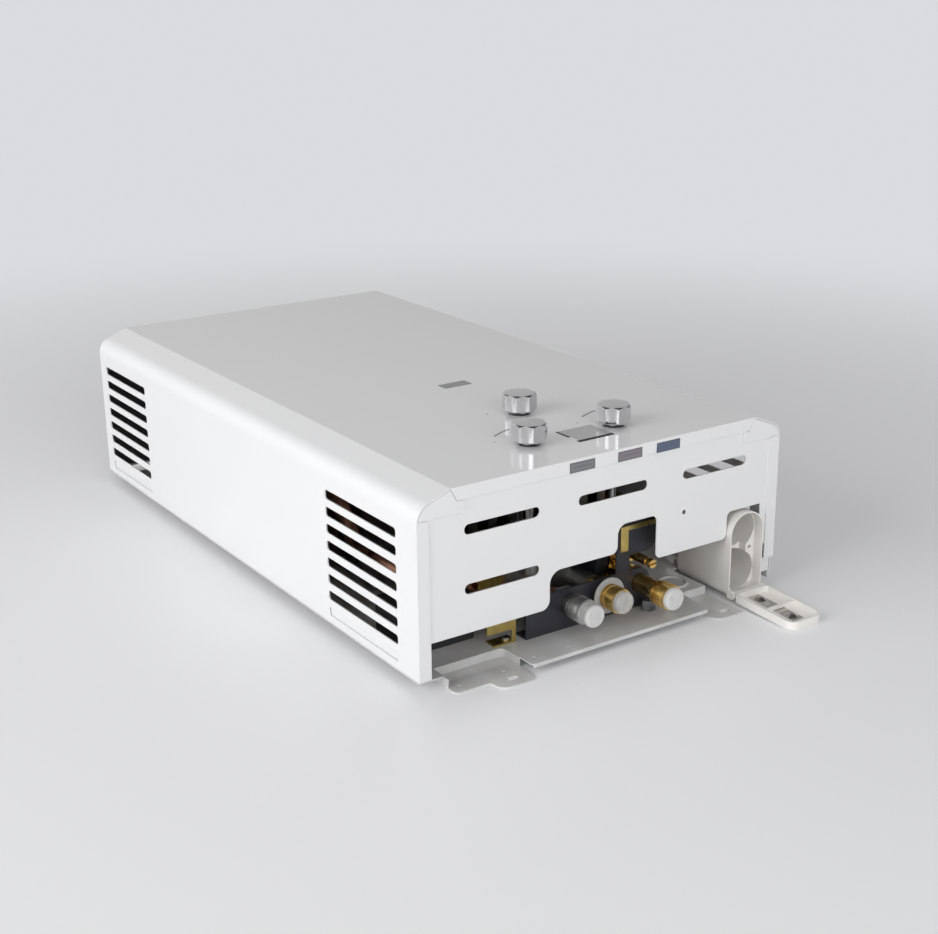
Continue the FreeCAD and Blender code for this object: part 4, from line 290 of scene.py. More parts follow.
class GeometryTree(NodeTree):
    """A Geometry Nodes tree with named sizes, evaluated once into a plain mesh."""

    def __init__(self, name: str, sizes: Mapping[str, float | int]) -> None:
        """Starts a tree.

        Args:
            name: The tree's name.
            sizes: Its named inputs and their values, lengths in metres.
        """
        super().__init__(bpy.data.node_groups.new(name, "GeometryNodeTree"))
        self.sizes = dict(sizes)
        interface = self.tree.interface
        interface.new_socket("Geometry", in_out="INPUT", socket_type="NodeSocketGeometry")
        interface.new_socket("Geometry", in_out="OUTPUT", socket_type="NodeSocketGeometry")
        for label, value in self.sizes.items():
            kind = "NodeSocketInt" if isinstance(value, int) else "NodeSocketFloat"
            interface.new_socket(label, in_out="INPUT", socket_type=kind)
        self.entry = self.tree.nodes.new("NodeGroupInput")
        self.seats = Signal(self, self.entry.outputs["Geometry"])

    def __getitem__(self, label: str) -> Signal:
        """One named size."""
        return Signal(self, self.entry.outputs[label])

    def vector(self, x: Term = 0.0, y: Term = 0.0, z: Term = 0.0) -> Signal:
        """A vector from three terms."""
        return self.node("ShaderNodeCombineXYZ", inputs={0: x, 1: y, 2: z})

    def move(self, geometry: Signal, shift: Value = (0.0, 0.0, 0.0),
             turn: Point = (0.0, 0.0, 0.0)) -> Signal:
        """Geometry moved along each axis and turned about it, by angles in radians."""
        return self.node("GeometryNodeTransform",
                         inputs={"Geometry": geometry, "Translation": shift, "Rotation": turn})

    def join(self, *parts: Signal) -> Signal:
        """Several geometries as one.

        Args:
            parts: The geometries.

        Returns:
            All of them.
        """
        made = self.tree.nodes.new("GeometryNodeJoinGeometry")
        for part in reversed(parts):
            self.tree.links.new(part.socket, made.inputs[0])
        return Signal(self, made.outputs[0])

    def carve(self, solid: Signal, cutters: Signal) -> Signal:
        """A solid less its cutters."""
        return self.node("GeometryNodeMeshBoolean", {"operation": "DIFFERENCE"},
                         {"Mesh 1": solid, "Mesh 2": cutters})

    def bar(self, radius: Term, length: Term, sides: int = 24, top: Term | None = None) -> Signal:
        """Round or tapered bar on z = 0 along +Z.

        Args:
            radius: Its radius, or the radius at the foot.
            length: Its length.
            sides: Faces round it.
            top: Radius at the top where it tapers.

        Returns:
            The bar.
        """
        inputs: dict[str | int, Value] = {"Vertices": sides, "Radius Bottom": radius, "Depth": length}
        inputs["Radius Top"] = radius if top is None else top
        return self.node("GeometryNodeMeshCone", inputs=inputs)

    def sweep(self, path: Signal, section: Signal) -> Signal:
        """A section swept along a path, with closed ends."""
        return self.node("GeometryNodeCurveToMesh",
                         inputs={"Curve": path, "Profile Curve": section, "Fill Caps": True})

    def spiral(self, steps: int, turns: Term, start: Term, end: Term, height: Term) -> Signal:
        """A helix from a start radius to an end radius, with a number of steps in each turn."""
        sizes = {"Resolution": steps, "Rotations": turns, "Start Radius": start, "End Radius": end}
        return self.node("GeometryNodeCurveSpiral", inputs={**sizes, "Height": height})

    def ring(self, radius: Term, corners: int) -> Signal:
        """A regular outline for a sweep."""
        return self.node("GeometryNodeCurvePrimitiveCircle",
                         inputs={"Resolution": corners, "Radius": radius})

    def stand(self, item: Signal, turn: Value = (0.0, 0.0, 0.0)) -> Signal:
        """An instance of an item on every seat."""
        return self.node("GeometryNodeInstanceOnPoints",
                         inputs={"Points": self.seats, "Instance": item, "Rotation": turn})

    def make(self, name: str, shape: Signal, material: bpy.types.Material,
             seats: bpy.types.ID | None, crease: float) -> bpy.types.Object:
        """Closes the tree and evaluates it into one plain mesh.

        Args:
            name: The piece's name.
            shape: The finished geometry.
            material: Its material.
            seats: A mesh or curve whose points carry the instances.
            crease: Angle in degrees above which edges stay sharp.

        Returns:
            The piece, at the origin.
        """
        solid = self.node("GeometryNodeRealizeInstances", inputs={0: shape})
        painted = self.node("GeometryNodeSetMaterial", inputs={"Geometry": solid, "Material": material})
        end = self.tree.nodes.new("NodeGroupOutput")
        self.tree.links.new(painted.socket, end.inputs[0])
        base = place(name + "_seats", seats or bpy.data.meshes.new(name + "_seats"))
        recipe = base.modifiers.new(self.tree.name, "NODES")
        recipe.node_group = self.tree
        for item in self.tree.interface.items_tree:
            if item.in_out == "INPUT" and item.name in self.sizes:
                recipe[item.identifier] = self.sizes[item.name]
        evaluated = base.evaluated_get(bpy.context.evaluated_depsgraph_get())
        mesh = bpy.data.meshes.new_from_object(evaluated)
        bpy.data.objects.remove(base)
        mesh.name = name
        shade(mesh, crease)
        return place(name, mesh)


def place(name: str, data: bpy.types.ID) -> bpy.types.Object:
    """Adds an object to the scene.

    Args:
        name: Its name.
        data: Its mesh, curve, camera or light.

    Returns:
        The object.
    """
    made = bpy.data.objects.new(name, data)
    bpy.context.scene.collection.objects.link(made)
    return made


def shade(mesh: bpy.types.Mesh, crease: float) -> None:
    """Shades a mesh smooth but for edges sharper than the crease angle in degrees."""
    mesh.polygons.foreach_set("use_smooth", [True] * len(mesh.polygons))
    mesh.set_sharp_from_angle(angle=math.radians(crease))


def seat_mesh(name: str, points: Iterable[Point], outward: Iterable[Point] | None = None) -> bpy.types.Mesh:
    """Loose points that carry instances.

    Args:
        name: The mesh's name.
        points: Places in millimetres.
        outward: A direction for each point.

    Returns:
        The mesh, in metres.
    """
    mesh = bpy.data.meshes.new(name)
    mesh.from_pydata([tuple(MM * c for c in point) for point in points], [], [])
    if outward is not None:
        layer = mesh.attributes.new("outward", "FLOAT_VECTOR", "POINT")
        layer.data.foreach_set("vector", [c for direction in outward for c in direction])
    return mesh


def route(name: str, points: Sequence[Point]) -> bpy.types.Curve:
    """A smooth line past a few points.

    Args:
        name: The curve's name.
        points: Control points in millimetres.

    Returns:
        The curve, in metres.
    """
    curve = bpy.data.curves.new(name, "CURVE")
    curve.dimensions = "3D"
    curve.resolution_u = 10
    line = curve.splines.new("NURBS")
    line.points.add(len(points) - 1)
    for knot, point in zip(line.points, points):
        knot.co = (*(MM * c for c in point), 1.0)
    line.order_u = 3
    line.use_endpoint_u = True
    return curve


# ------------ finishes
class Slot(Enum):
    """The record's material slots."""

    ENAMEL = "white_enamel"
    GALVANISED = "galvanised"
    CHROMATED = "chromated"
    CHROME = "chrome_knob"
    BLACK = "black_plastic"
    GREY_MARK = "marker_grey"
    MAUVE_MARK = "marker_mauve"
    BLUE_MARK = "marker_blue"
    DISPLAY = "display_pane"
    MICA = "mica"
    BOARD = "board"
    STEEL = "steel"
    BRASS = "brass"
    CAP = "grey_plastic"
    CAST = "cast_alloy"
    DARK = "dark_alloy"
    RUBBER = "rubber"
    COPPER = "copper"
    WHITE = "white_plastic"
    CERAMIC = "ceramic"
    SILICONE = "silicone"
    NICKEL = "nickel"


@dataclass(frozen=True)
class Finish:
    """What every finish has.

    Attributes:
        colour: Base colour, linear.
        roughness: Mean roughness.
        metallic: 1 for bare metal.
        more: Further constant sockets of the shader.
    """

    colour: Colour
    roughness: float
    metallic: float = 0.0
    more: Mapping[str, float | Colour] = field(default_factory=dict)

    def material(self, name: str) -> bpy.types.Material:
        """Builds the material.

        Args:
            name: The material's name.

        Returns:
            The finished material.
        """
        tree = ShaderTree(name, {"Metallic": self.metallic, **self.more})
        self.dress(tree)
        return tree.material

    def dress(self, tree: ShaderTree) -> None:
        """Adds what varies over the surface."""
        raise NotImplementedError

    def tint(self, factor: float) -> Colour:
        """The base colour made lighter or darker."""
        return tuple(min(1.0, c * factor) for c in self.colour)


@dataclass(frozen=True)
class Enamel(Finish):
    """Baked white enamel on sheet steel, with a faint orange peel, a painted highlight along the folds, and
    painted shade on the floor and inside the casing.

    Attributes:
        peel: Distance between the waves of the peel, in metres.
        edge: Radius of the edges, in metres.
        edge_colour: Colour of the painted highlight along the folds, and of chipped edges.
        fold_highlight: How strongly the painted highlight shows along the folds.
        ground: Height below which dust and painted shade darken the floor, in metres.
        dust: Colour of the dust and painted shade on the floor.
        inside: Half the width, bottom and top of the space between the casing's sides.
        shaded_span: Y where the painted shade in that space starts and is full, and its end.
        darkening: Colour of the painted shade inside the casing.
        cover: How much of the enamel the painted shade covers.
    """

    peel: float = 3.5 * MM
    edge: float = 0.9 * MM
    edge_colour: Colour = (0.96, 0.965, 0.97)
    fold_highlight: float = 0.8
    ground: float = 10.2 * MM
    dust: Colour = (0.42, 0.415, 0.40)
    inside: Point = (181.0 * MM, 12.0 * MM, 120.0 * MM)
    shaded_span: Point = (120.0 * MM, 200.0 * MM, 307.0 * MM)
    darkening: Colour = (0.02, 0.02, 0.021)
    cover: float = 0.95

    def dress(self, tree: ShaderTree) -> None:
        """Adds clouding, smears, dust and painted shade on the floor, painted shade inside the casing, a
        painted highlight along the folds and the peel.

        Args:
            tree: The material's tree.
        """
        normal, rim = tree.edges(self.edge)
        cloud = tree.noise(90 * MM, 3.0)
        smear = tree.noise(28 * MM, 4.0, (1.0, 0.45, 1.0))
        base = tree.mix(cloud, self.tint(0.985), self.tint(1.015))
        chips = rim * (tree.noise(5 * MM, 3.0) > 0.56)
        # painted highlight along the folds, plus chipped edges in the same colour
        base = tree.mix(rim ** 0.5 * self.fold_highlight + chips * 0.10, base, self.edge_colour)
        # darker floor below ground height: partly dust, partly painted shade
        base = tree.mix((tree.z < self.ground) * smear, base, self.dust)
        # painted shade: the enamel inside the casing turns near black towards the exhaust end; heat is only
        # the ramp along y
        half, bottom, top = self.inside
        start, full, end = self.shaded_span
        within = (abs(tree.x) < half) * (tree.z > bottom) * (tree.z < top) * (tree.y < end)
        heat = tree.rise(tree.y, start, full)
        tree.skin(tree.mix(within * heat * self.cover, base, self.darkening),
                  self.roughness + (smear - 0.5) * 0.12 + rim * 0.08,
                  tree.noise(self.peel, 0.0), 0.006 * MM, normal)


@dataclass(frozen=True)
class ZincSheet(Finish):
    """Hot-dip galvanised sheet with its spangle, darkened towards +Y as painted shade.

    Attributes:
        spangle: Size of the crystals, in metres.
        hot: Y from which the painted shade darkens it.
        fade: Length over which it gets dark.
        painted_shade: How dark the painted shade gets.
    """

    spangle: float = 7 * MM
    hot: float = 60 * MM
    fade: float = 60 * MM
    painted_shade: float = 0.9

    def dress(self, tree: ShaderTree) -> None:
        """Adds spangle, white bloom, painted shade towards +Y and rolling marks.

        Args:
            tree: The material's tree.
        """
        cell = tree.cells(self.spangle)
        shades = tree.node("ShaderNodeSeparateColor", inputs={0: tree.other(cell, "Color")})
        bloom = tree.noise(22 * MM, 4.0)
        base = tree.mix(shades, self.tint(0.78), self.tint(1.12))
        base = tree.mix((bloom > 0.6) * 0.3, base, self.tint(1.6))
        # painted shade: the sheet turns near black towards +Y for the dim inside of the casing; heat is only
        # the ramp along y
        heat = tree.rise(tree.y, self.hot, self.hot + self.fade)
        tree.skin(tree.mix(heat * self.painted_shade, base, self.tint(0.1)),
                  self.roughness + shades * 0.12 + (bloom - 0.5) * 0.15,
                  tree.noise(0.6 * MM, 2.0, (1.0, 0.06, 1.0)), 0.006 * MM, tree.edges(0.3 * MM)[0])


@dataclass(frozen=True)
class Chromate(Finish):
    """Zinc plate under yellow chromate, with its shifting hue."""

    def dress(self, tree: ShaderTree) -> None:
        """Adds hue clouds, fingermarks and dulled edges.

        Args:
            tree: The material's tree.
        """
        normal, rim = tree.edges(0.4 * MM)
        drift = tree.noise(16 * MM, 3.0)
        base = tree.ramp(drift, ((0.30, (0.30, 0.24, 0.08)), (0.46, self.colour),
                                 (0.60, (0.56, 0.42, 0.14)), (0.72, (0.50, 0.30, 0.22))))
        tree.skin(tree.mix(rim * 0.45, base, (0.58, 0.54, 0.42)),
                  self.roughness + (tree.noise(9 * MM, 4.0) - 0.5) * 0.25,
                  tree.noise(1.2 * MM, 3.0), 0.01 * MM, normal)


@dataclass(frozen=True)
class Chrome(Finish):
    """Chromium plate: bright sides and a satin top.

    Attributes:
        satin_from: Height in metres above which the plate is satin.
    """

    satin_from: float = 178.1 * MM

    def dress(self, tree: ShaderTree) -> None:
        """Adds the satin top, a painted highlight along the edges, fine turning marks and finger haze.

        Args:
            tree: The material's tree.
        """
        normal, rim = tree.edges(0.6 * MM)
        top = tree.z > self.satin_from
        haze = tree.noise(11 * MM, 3.0)
        # the satin top and a painted highlight along the edges take the lighter colour
        tree.skin(tree.mix(top.largest(rim), self.colour, (0.93, 0.93, 0.94)),
                  self.roughness + top * 0.26 + (haze - 0.5).largest(0.0) * 0.22,
                  tree.noise(0.5 * MM, 2.0, (1.0, 0.05, 1.0)) * top, 0.004 * MM, normal)


@dataclass(frozen=True)
class TurnedMetal(Finish):
    """Machined metal with tool marks round its length and a slight tarnish.

    Attributes:
        tarnish: Colour of the tarnish.
        grain: How fine the tool marks are along each axis.
    """

    tarnish: Colour = (0.2, 0.12, 0.04)
    grain: Point = (0.1, 1.0, 0.1)

    def dress(self, tree: ShaderTree) -> None:
        """Adds tool marks, tarnish in clouds and bright edges.

        Args:
            tree: The material's tree.
        """
        normal, rim = tree.edges(0.3 * MM)
        stain = tree.noise(13 * MM, 4.0)
        marks = tree.noise(0.7 * MM, 1.0, self.grain)
        base = tree.mix((stain - 0.42).largest(0.0) * 1.6, self.colour, self.tarnish)
        tree.skin(tree.mix(rim * 0.5, base, self.tint(1.25)),
                  self.roughness + (stain - 0.5) * 0.22 + (marks - 0.5) * 0.10,
                  marks, 0.008 * MM, normal)


@dataclass(frozen=True)
class DrawnCopper(Finish):
    """Drawn copper, browned by heat, with darker clouds and a pink bloom."""

    def dress(self, tree: ShaderTree) -> None:
        """Adds oxide clouds, heat bands towards the burner and draw marks.

        Args:
            tree: The material's tree.
        """
        cloud = tree.noise(19 * MM, 5.0)
        heat = tree.rise(tree.y, -140 * MM, 20 * MM)
        oxide = tree.ramp(cloud, ((0.28, (0.16, 0.07, 0.045)), (0.5, self.colour),
                                  (0.75, (0.78, 0.46, 0.33))))
        tree.skin(tree.mix(heat * 0.55, oxide, (0.22, 0.12, 0.10)),
                  self.roughness + (cloud - 0.5) * 0.3 + heat * 0.12,
                  tree.noise(0.8 * MM, 2.0, (1.0, 0.08, 1.0)), 0.006 * MM)


@dataclass(frozen=True)
class Casting(Finish):
    """Cast alloy with a sandy skin and rubbed edges.

    Attributes:
        sand: Distance between the grains of the skin, in metres.
    """

    sand: float = 0.9 * MM

    def dress(self, tree: ShaderTree) -> None:
        """Adds the cast skin, stains and rubbed edges.

        Args:
            tree: The material's tree.
        """
        normal, rim = tree.edges(0.6 * MM)
        stain = tree.noise(17 * MM, 4.0)
        base = tree.mix(stain, self.tint(0.7), self.tint(1.15))
        tree.skin(tree.mix(rim * 0.5, base, self.tint(1.5)),
                  self.roughness + (stain - 0.5) * 0.2 - rim * 0.12,
                  tree.noise(self.sand, 3.0), 0.05 * MM, normal)


@dataclass(frozen=True)
class Moulding(Finish):
    """Moulded plastic with a fine texture, sheen patches and rubbed edges.

    Attributes:
        texture: Distance between the bumps of the mould's texture, in metres.
        edge_colour: Colour of rubbed edges.
    """

    texture: float = 0.7 * MM
    edge_colour: Colour = (0.6, 0.6, 0.6)

    def dress(self, tree: ShaderTree) -> None:
        """Adds flow clouds, the mould's texture and edge rub.

        Args:
            tree: The material's tree.
        """
        normal, rim = tree.edges(0.5 * MM)
        flow = tree.noise(24 * MM, 3.0)
        base = tree.mix(flow, self.tint(0.94), self.tint(1.05))
        tree.skin(tree.mix(rim * 0.22, base, self.edge_colour),
                  self.roughness + (tree.noise(7 * MM, 3.0) - 0.5) * 0.16,
                  tree.noise(self.texture, 2.0), 0.01 * MM, normal)


@dataclass(frozen=True)
class MilkyCap(Moulding):
    """Milky polyethylene: a thin skirt that lets the thread through, and a closed end.

    Attributes:
        closed: Y below which the closed end starts, in metres.
        skirt: How opaque the skirt is.
    """

    closed: float = -322.0 * MM
    skirt: float = 0.55

    def dress(self, tree: ShaderTree) -> None:
        """Adds the see-through skirt to the moulded looks.

        Args:
            tree: The material's tree.
        """
        super().dress(tree)
        cloud = (tree.noise(6 * MM, 3.0) - 0.5) * 0.3
        tree.feed("Alpha", self.skirt + (tree.y < self.closed) * 0.35 + cloud)


@dataclass(frozen=True)
class Marker(Finish):
    """Small printed colour field with a painted highlight along an inner line.

    Attributes:
        middle: X and Z of its middle, in metres.
        half: Half width and half height of the inner line, in metres.
        line: How strongly the painted highlight shows.
    """

    middle: Pair = (0.0, 0.0)
    half: Pair = (9.6 * MM, 1.9 * MM)
    line: float = 0.0

    def dress(self, tree: ShaderTree) -> None:
        """Adds print grain, the painted highlight on the inner line and a soft sheen.

        Args:
            tree: The material's tree.
        """
        across = abs(tree.x - self.middle[0]) - self.half[0]
        up = abs(tree.z - self.middle[1]) - self.half[1]
        # painted highlight along a thin inner line
        inner_highlight = abs(across.largest(up)) < 0.4 * MM
        grain = tree.noise(0.8 * MM, 2.0)
        base = tree.mix(grain, self.tint(0.88), self.tint(1.12))
        tree.skin(tree.mix(inner_highlight * self.line, base, self.tint(1.7)),
                  self.roughness + (grain - 0.5) * 0.2,
                  grain, 0.006 * MM)


@dataclass(frozen=True)
class DisplayPane(Finish):
    """Smoked acrylic pane over a blank display, with painted shadow lines along two edges.

    Attributes:
        left: X of the pane's left edge, in metres.
        near: Y of its near edge, in metres.
        near_shadow: Width of the painted shadow line along the near edge, in metres.
        side: Width of the line along the left edge.
        shadow_from: Where that line turns from pale to painted shadow, from the near edge.
        dark: Colour of the painted shadow lines.
        pale: Colour of the pale line.
    """

    left: float = -8.0 * MM
    near: float = -277.0 * MM
    near_shadow: float = 4.6 * MM
    side: float = 2.4 * MM
    shadow_from: float = 15.0 * MM
    dark: Colour = (0.045, 0.05, 0.06)
    pale: Colour = (0.85, 0.85, 0.85)

    def dress(self, tree: ShaderTree) -> None:
        """Adds the painted shadow lines, the pale line and dust.

        Args:
            tree: The material's tree.
        """
        side = tree.x < self.left + self.side
        far = tree.y > self.near + self.shadow_from
        # painted shadow along the near edge and the far half of the left edge
        frame = (tree.y < self.near + self.near_shadow).largest(side * far)
        dust = tree.noise(3 * MM, 4.0)
        glass = tree.mix(side.largest(dust * 0.25), self.colour, self.pale)
        # no coat and full roughness on the painted shadow, so that it stays dark
        tree.feed("Coat Weight", 0.5 - frame * 0.5)
        tree.skin(tree.mix(frame, glass, self.dark),
                  (self.roughness + (dust > 0.62) * 0.12).largest(frame),
                  tree.noise(20 * MM, 1.0), 0.02 * MM)


@dataclass(frozen=True)
class MicaPane(Finish):
    """Layered mica in the sight window."""

    def dress(self, tree: ShaderTree) -> None:
        """Adds flakes, layers and a smoky cloud.

        Args:
            tree: The material's tree.
        """
        flake = tree.cells(2.4 * MM)
        cloud = tree.noise(8 * MM, 4.0, (1.0, 2.5, 1.0))
        tree.skin(tree.mix(cloud, self.tint(0.72), self.tint(1.2)),
                  self.roughness + flake * 0.12,
                  flake, 0.01 * MM)


@dataclass(frozen=True)
class CircuitBoard(Finish):
    """Solder-masked board with traces under the mask."""

    def dress(self, tree: ShaderTree) -> None:
        """Adds traces, pads and mask gloss.

        Args:
            tree: The material's tree.
        """
        bricks = {"Vector": tree.place, "Scale": 180.0, "Mortar Size": 0.03}
        trace = tree.node("ShaderNodeTexBrick", inputs=bricks, output="Fac")
        pads = tree.cells(2.5 * MM) < 0.22
        base = tree.mix(trace * 0.6, self.colour, self.tint(2.1))
        tree.skin(tree.mix(pads, base, (0.62, 0.60, 0.55)),
                  self.roughness - pads * 0.1 + trace * 0.06,
                  trace + pads, 0.02 * MM)


@dataclass(frozen=True)
class Sleeve(Finish):
    """Soft insulation or rubber with a dusty bloom."""

    def dress(self, tree: ShaderTree) -> None:
        """Adds bloom, dirt and a soft grain.

        Args:
            tree: The material's tree.
        """
        bloom = tree.noise(12 * MM, 4.0)
        tree.skin(tree.mix(bloom, self.tint(0.82), self.tint(1.1)),
                  self.roughness + (bloom - 0.5) * 0.2,
                  tree.noise(0.5 * MM, 2.0), 0.012 * MM)


@dataclass(frozen=True)
class Glaze(Finish):
    """Glazed ceramic with a faint crackle and brown flecks."""

    def dress(self, tree: ShaderTree) -> None:
        """Adds flecks, crackle and soot towards the tip.

        Args:
            tree: The material's tree.
        """
        fleck = tree.cells(1.6 * MM) < 0.10
        darkening = tree.rise(tree.z, 118 * MM, 100 * MM)
        base = tree.mix(fleck * 0.5, self.colour, (0.4, 0.28, 0.18))
        tree.skin(tree.mix(darkening * 0.8, base, (0.12, 0.10, 0.09)),
                  self.roughness + darkening * 0.4,
                  tree.cells(3 * MM, "DISTANCE_TO_EDGE"), 0.01 * MM)


FINISHES: dict[Slot, Finish] = {
    Slot.ENAMEL: Enamel((0.80, 0.805, 0.81), 0.36, more={"Coat Weight": 1.0, "Coat Roughness": 0.05}),
    # zinc base colour darkened below bare zinc: painted shade for the dim inside of the casing
    Slot.GALVANISED: ZincSheet((0.26, 0.265, 0.275), 0.38, 1.0),
    Slot.CHROMATED: Chromate((0.62, 0.48, 0.16), 0.30, 1.0),
    Slot.CHROME: Chrome((0.64, 0.64, 0.65), 0.07, 1.0),
    Slot.BLACK: Moulding((0.022, 0.022, 0.024), 0.42, edge_colour=(0.12, 0.12, 0.12)),
    Slot.GREY_MARK: Marker((0.17, 0.175, 0.185), 0.42, middle=(-30 * MM, 153.2 * MM), line=0.5),
    Slot.MAUVE_MARK: Marker((0.19, 0.175, 0.19), 0.42, middle=(18 * MM, 153.2 * MM), line=0.3),
    Slot.BLUE_MARK: Marker((0.095, 0.12, 0.175), 0.42, middle=(57.7 * MM, 153.2 * MM), line=0.15),
    Slot.DISPLAY: DisplayPane((0.36, 0.365, 0.37), 0.12, more={"Coat Roughness": 0.03}),
    Slot.MICA: MicaPane((0.26, 0.27, 0.28), 0.2),
    Slot.BOARD: CircuitBoard((0.012, 0.075, 0.035), 0.35),
    Slot.STEEL: TurnedMetal((0.58, 0.58, 0.57), 0.32, 1.0, tarnish=(0.34, 0.33, 0.31)),
    Slot.BRASS: TurnedMetal((0.80, 0.56, 0.20), 0.20, 1.0, tarnish=(0.42, 0.24, 0.07)),
    Slot.CAP: MilkyCap((0.66, 0.66, 0.65), 0.32, edge_colour=(0.85, 0.85, 0.85)),
    Slot.CAST: Casting((0.42, 0.42, 0.41), 0.45, 1.0),
    Slot.DARK: Casting((0.030, 0.031, 0.040), 0.42, sand=0.6 * MM),
    Slot.RUBBER: Sleeve((0.02, 0.02, 0.02), 0.65),
    Slot.COPPER: DrawnCopper((0.55, 0.27, 0.17), 0.30, 1.0),
    Slot.WHITE: Moulding((0.84, 0.825, 0.79), 0.38, texture=0.9 * MM, edge_colour=(0.92, 0.91, 0.88)),
    Slot.CERAMIC: Glaze((0.84, 0.80, 0.72), 0.18),
    Slot.SILICONE: Sleeve((0.72, 0.72, 0.70), 0.5),
    Slot.NICKEL: TurnedMetal((0.62, 0.60, 0.57), 0.18, 1.0, tarnish=(0.30, 0.28, 0.24)),
}


# ------------ workshop
class Workshop:
    """Hands out the CAD nodes, the materials and the rides."""

    def __init__(self, packed: Mapping[str, object]) -> None:
        self.nodes: dict[str, bpy.types.Object] = packed["nodes"]
        self.paint = {slot: finish.material(slot.value) for slot, finish in FINISHES.items()}

    def coat(self, node: str, slot: Slot) -> None:
        """Gives a CAD node its material.

        Args:
            node: The node's name.
            slot: The record's slot of its finish.
        """
        piece, material = self.nodes[node], self.paint[slot]
        if not piece.material_slots:
            piece.data.materials.append(material)
        for holder in piece.material_slots:
            holder.material = material
        LOG.info("%s is finished in %s", node, material.name)

    def fit(self, piece: bpy.types.Object, body: str, slot: Slot, *nodes: str) -> None:
        """Lets a new piece ride on a body.

        Args:
            piece: The piece, in place.
            body: The CAD body it moves with.
            slot: The record's slot of its finish; not used.
            nodes: CAD nodes that it stands for.
        """
        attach(piece, body)
        if nodes:
            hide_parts(*nodes)
        LOG.info("%s: %d faces on %s", piece.name, len(piece.data.polygons), body)


@dataclass
class SubAssembly:
    """A group of CAD nodes with the pieces that Blender adds to them.

    Attributes:
        coats: The group's CAD nodes by finish.
        shop: Where nodes and materials come from.
    """

    coats: ClassVar[Mapping[Slot, str]]
    shop: Workshop

    def pieces(self) -> None:
        """Builds the pieces that the group adds."""

    def add(self, tree: GeometryTree, name: str, shape: Signal, slot: Slot, *nodes: str,
            seats: bpy.types.ID | None = None, crease: float = 35.0) -> None:
        """Makes a piece that rides on the casing and stands for the CAD nodes, if any."""
        self.shop.fit(tree.make(name, shape, self.shop.paint[slot], seats, crease), "casing", slot, *nodes)

    def build(self) -> None:
        """Coats the nodes and adds the pieces."""
        for slot, nodes in self.coats.items():
            for node in nodes.split():
                self.shop.coat(node, slot)
        self.pieces()


@dataclass
class Casing(SubAssembly):
    """Cover, panels, wall plate, windows and the printed scales of the knobs.

    Attributes:
        front_z: Height of the front face, in millimetres.
        scale_radius: Radius of the printed scales.
        scale_centres: X and Y of their centres.
        scale_start: Angle where a scale starts, in degrees.
        scale_sweep: Its length, in degrees.
        scale_line: Width of its thick end.
        scale_taper: How much of the width is lost at the thin end, as a share.
        ink: Thickness of the print.
        dots: X and Y of the small printed marks.
        dot_radius: Their radius.
    """

    coats = {Slot.ENAMEL: "front_cover inlet_panel exhaust_panel wall_plate", Slot.GREY_MARK: "hot_marker",
             Slot.MAUVE_MARK: "gas_marker", Slot.BLUE_MARK: "cold_marker", Slot.DISPLAY: "display_lens",
             Slot.BOARD: "display_board", Slot.MICA: "sight_window"}
    front_z: float = 160.0
    scale_radius: float = 80.0
    scale_centres: tuple[Pair, ...] = ((-14.3, -293.5), (76.6, -292.5))
    scale_start: float = 104.0
    scale_sweep: float = 16.0
    scale_line: float = 1.5
    scale_taper: float = 0.8
    ink: float = 0.06
    dots: tuple[Pair, ...] = ((-63.0, -237.0), (23.0, -234.0), (-24.0, -170.0))
    dot_radius: float = 1.0

    def pieces(self) -> None:
        """Prints the tapered scales beside two knobs and the small marks."""
        start, sweep = math.radians(self.scale_start), math.radians(self.scale_sweep)
        tree = GeometryTree("printed_scale", {
            "Radius": self.scale_radius * MM, "Start": start, "Sweep": sweep,
            "Line": self.scale_line * MM, "Ink": self.ink * MM})
        arc = tree.node("GeometryNodeCurveArc", {"mode": "RADIUS"}, {
            "Resolution": 24, "Radius": tree["Radius"], "Start Angle": tree["Start"],
            "Sweep Angle": tree["Sweep"]})
        along = tree.node("GeometryNodeSplineParameter", output="Factor")
        arc = tree.node("GeometryNodeSetCurveRadius", inputs={
            "Curve": arc, "Radius": 1.0 - along * self.scale_taper})
        stroke = tree.node("GeometryNodeCurvePrimitiveQuadrilateral", {"mode": "RECTANGLE"},
                           {"Width": tree["Line"], "Height": tree["Ink"]})
        middle = self.front_z + self.ink / 2
        seats = seat_mesh("scale_seats", [(x, y, middle) for x, y in self.scale_centres])
        self.add(tree, "knob_scales", tree.stand(tree.sweep(arc, stroke)), Slot.GREY_MARK, seats=seats)

        tree = GeometryTree("printed_mark", {"Radius": self.dot_radius * MM, "Ink": self.ink * MM})
        mark = tree.bar(tree["Radius"], tree["Ink"], sides=6)
        seats = seat_mesh("mark_seats", [(x, y, self.front_z) for x, y in self.dots])
        self.add(tree, "knob_marks", tree.stand(mark), Slot.GREY_MARK, seats=seats)


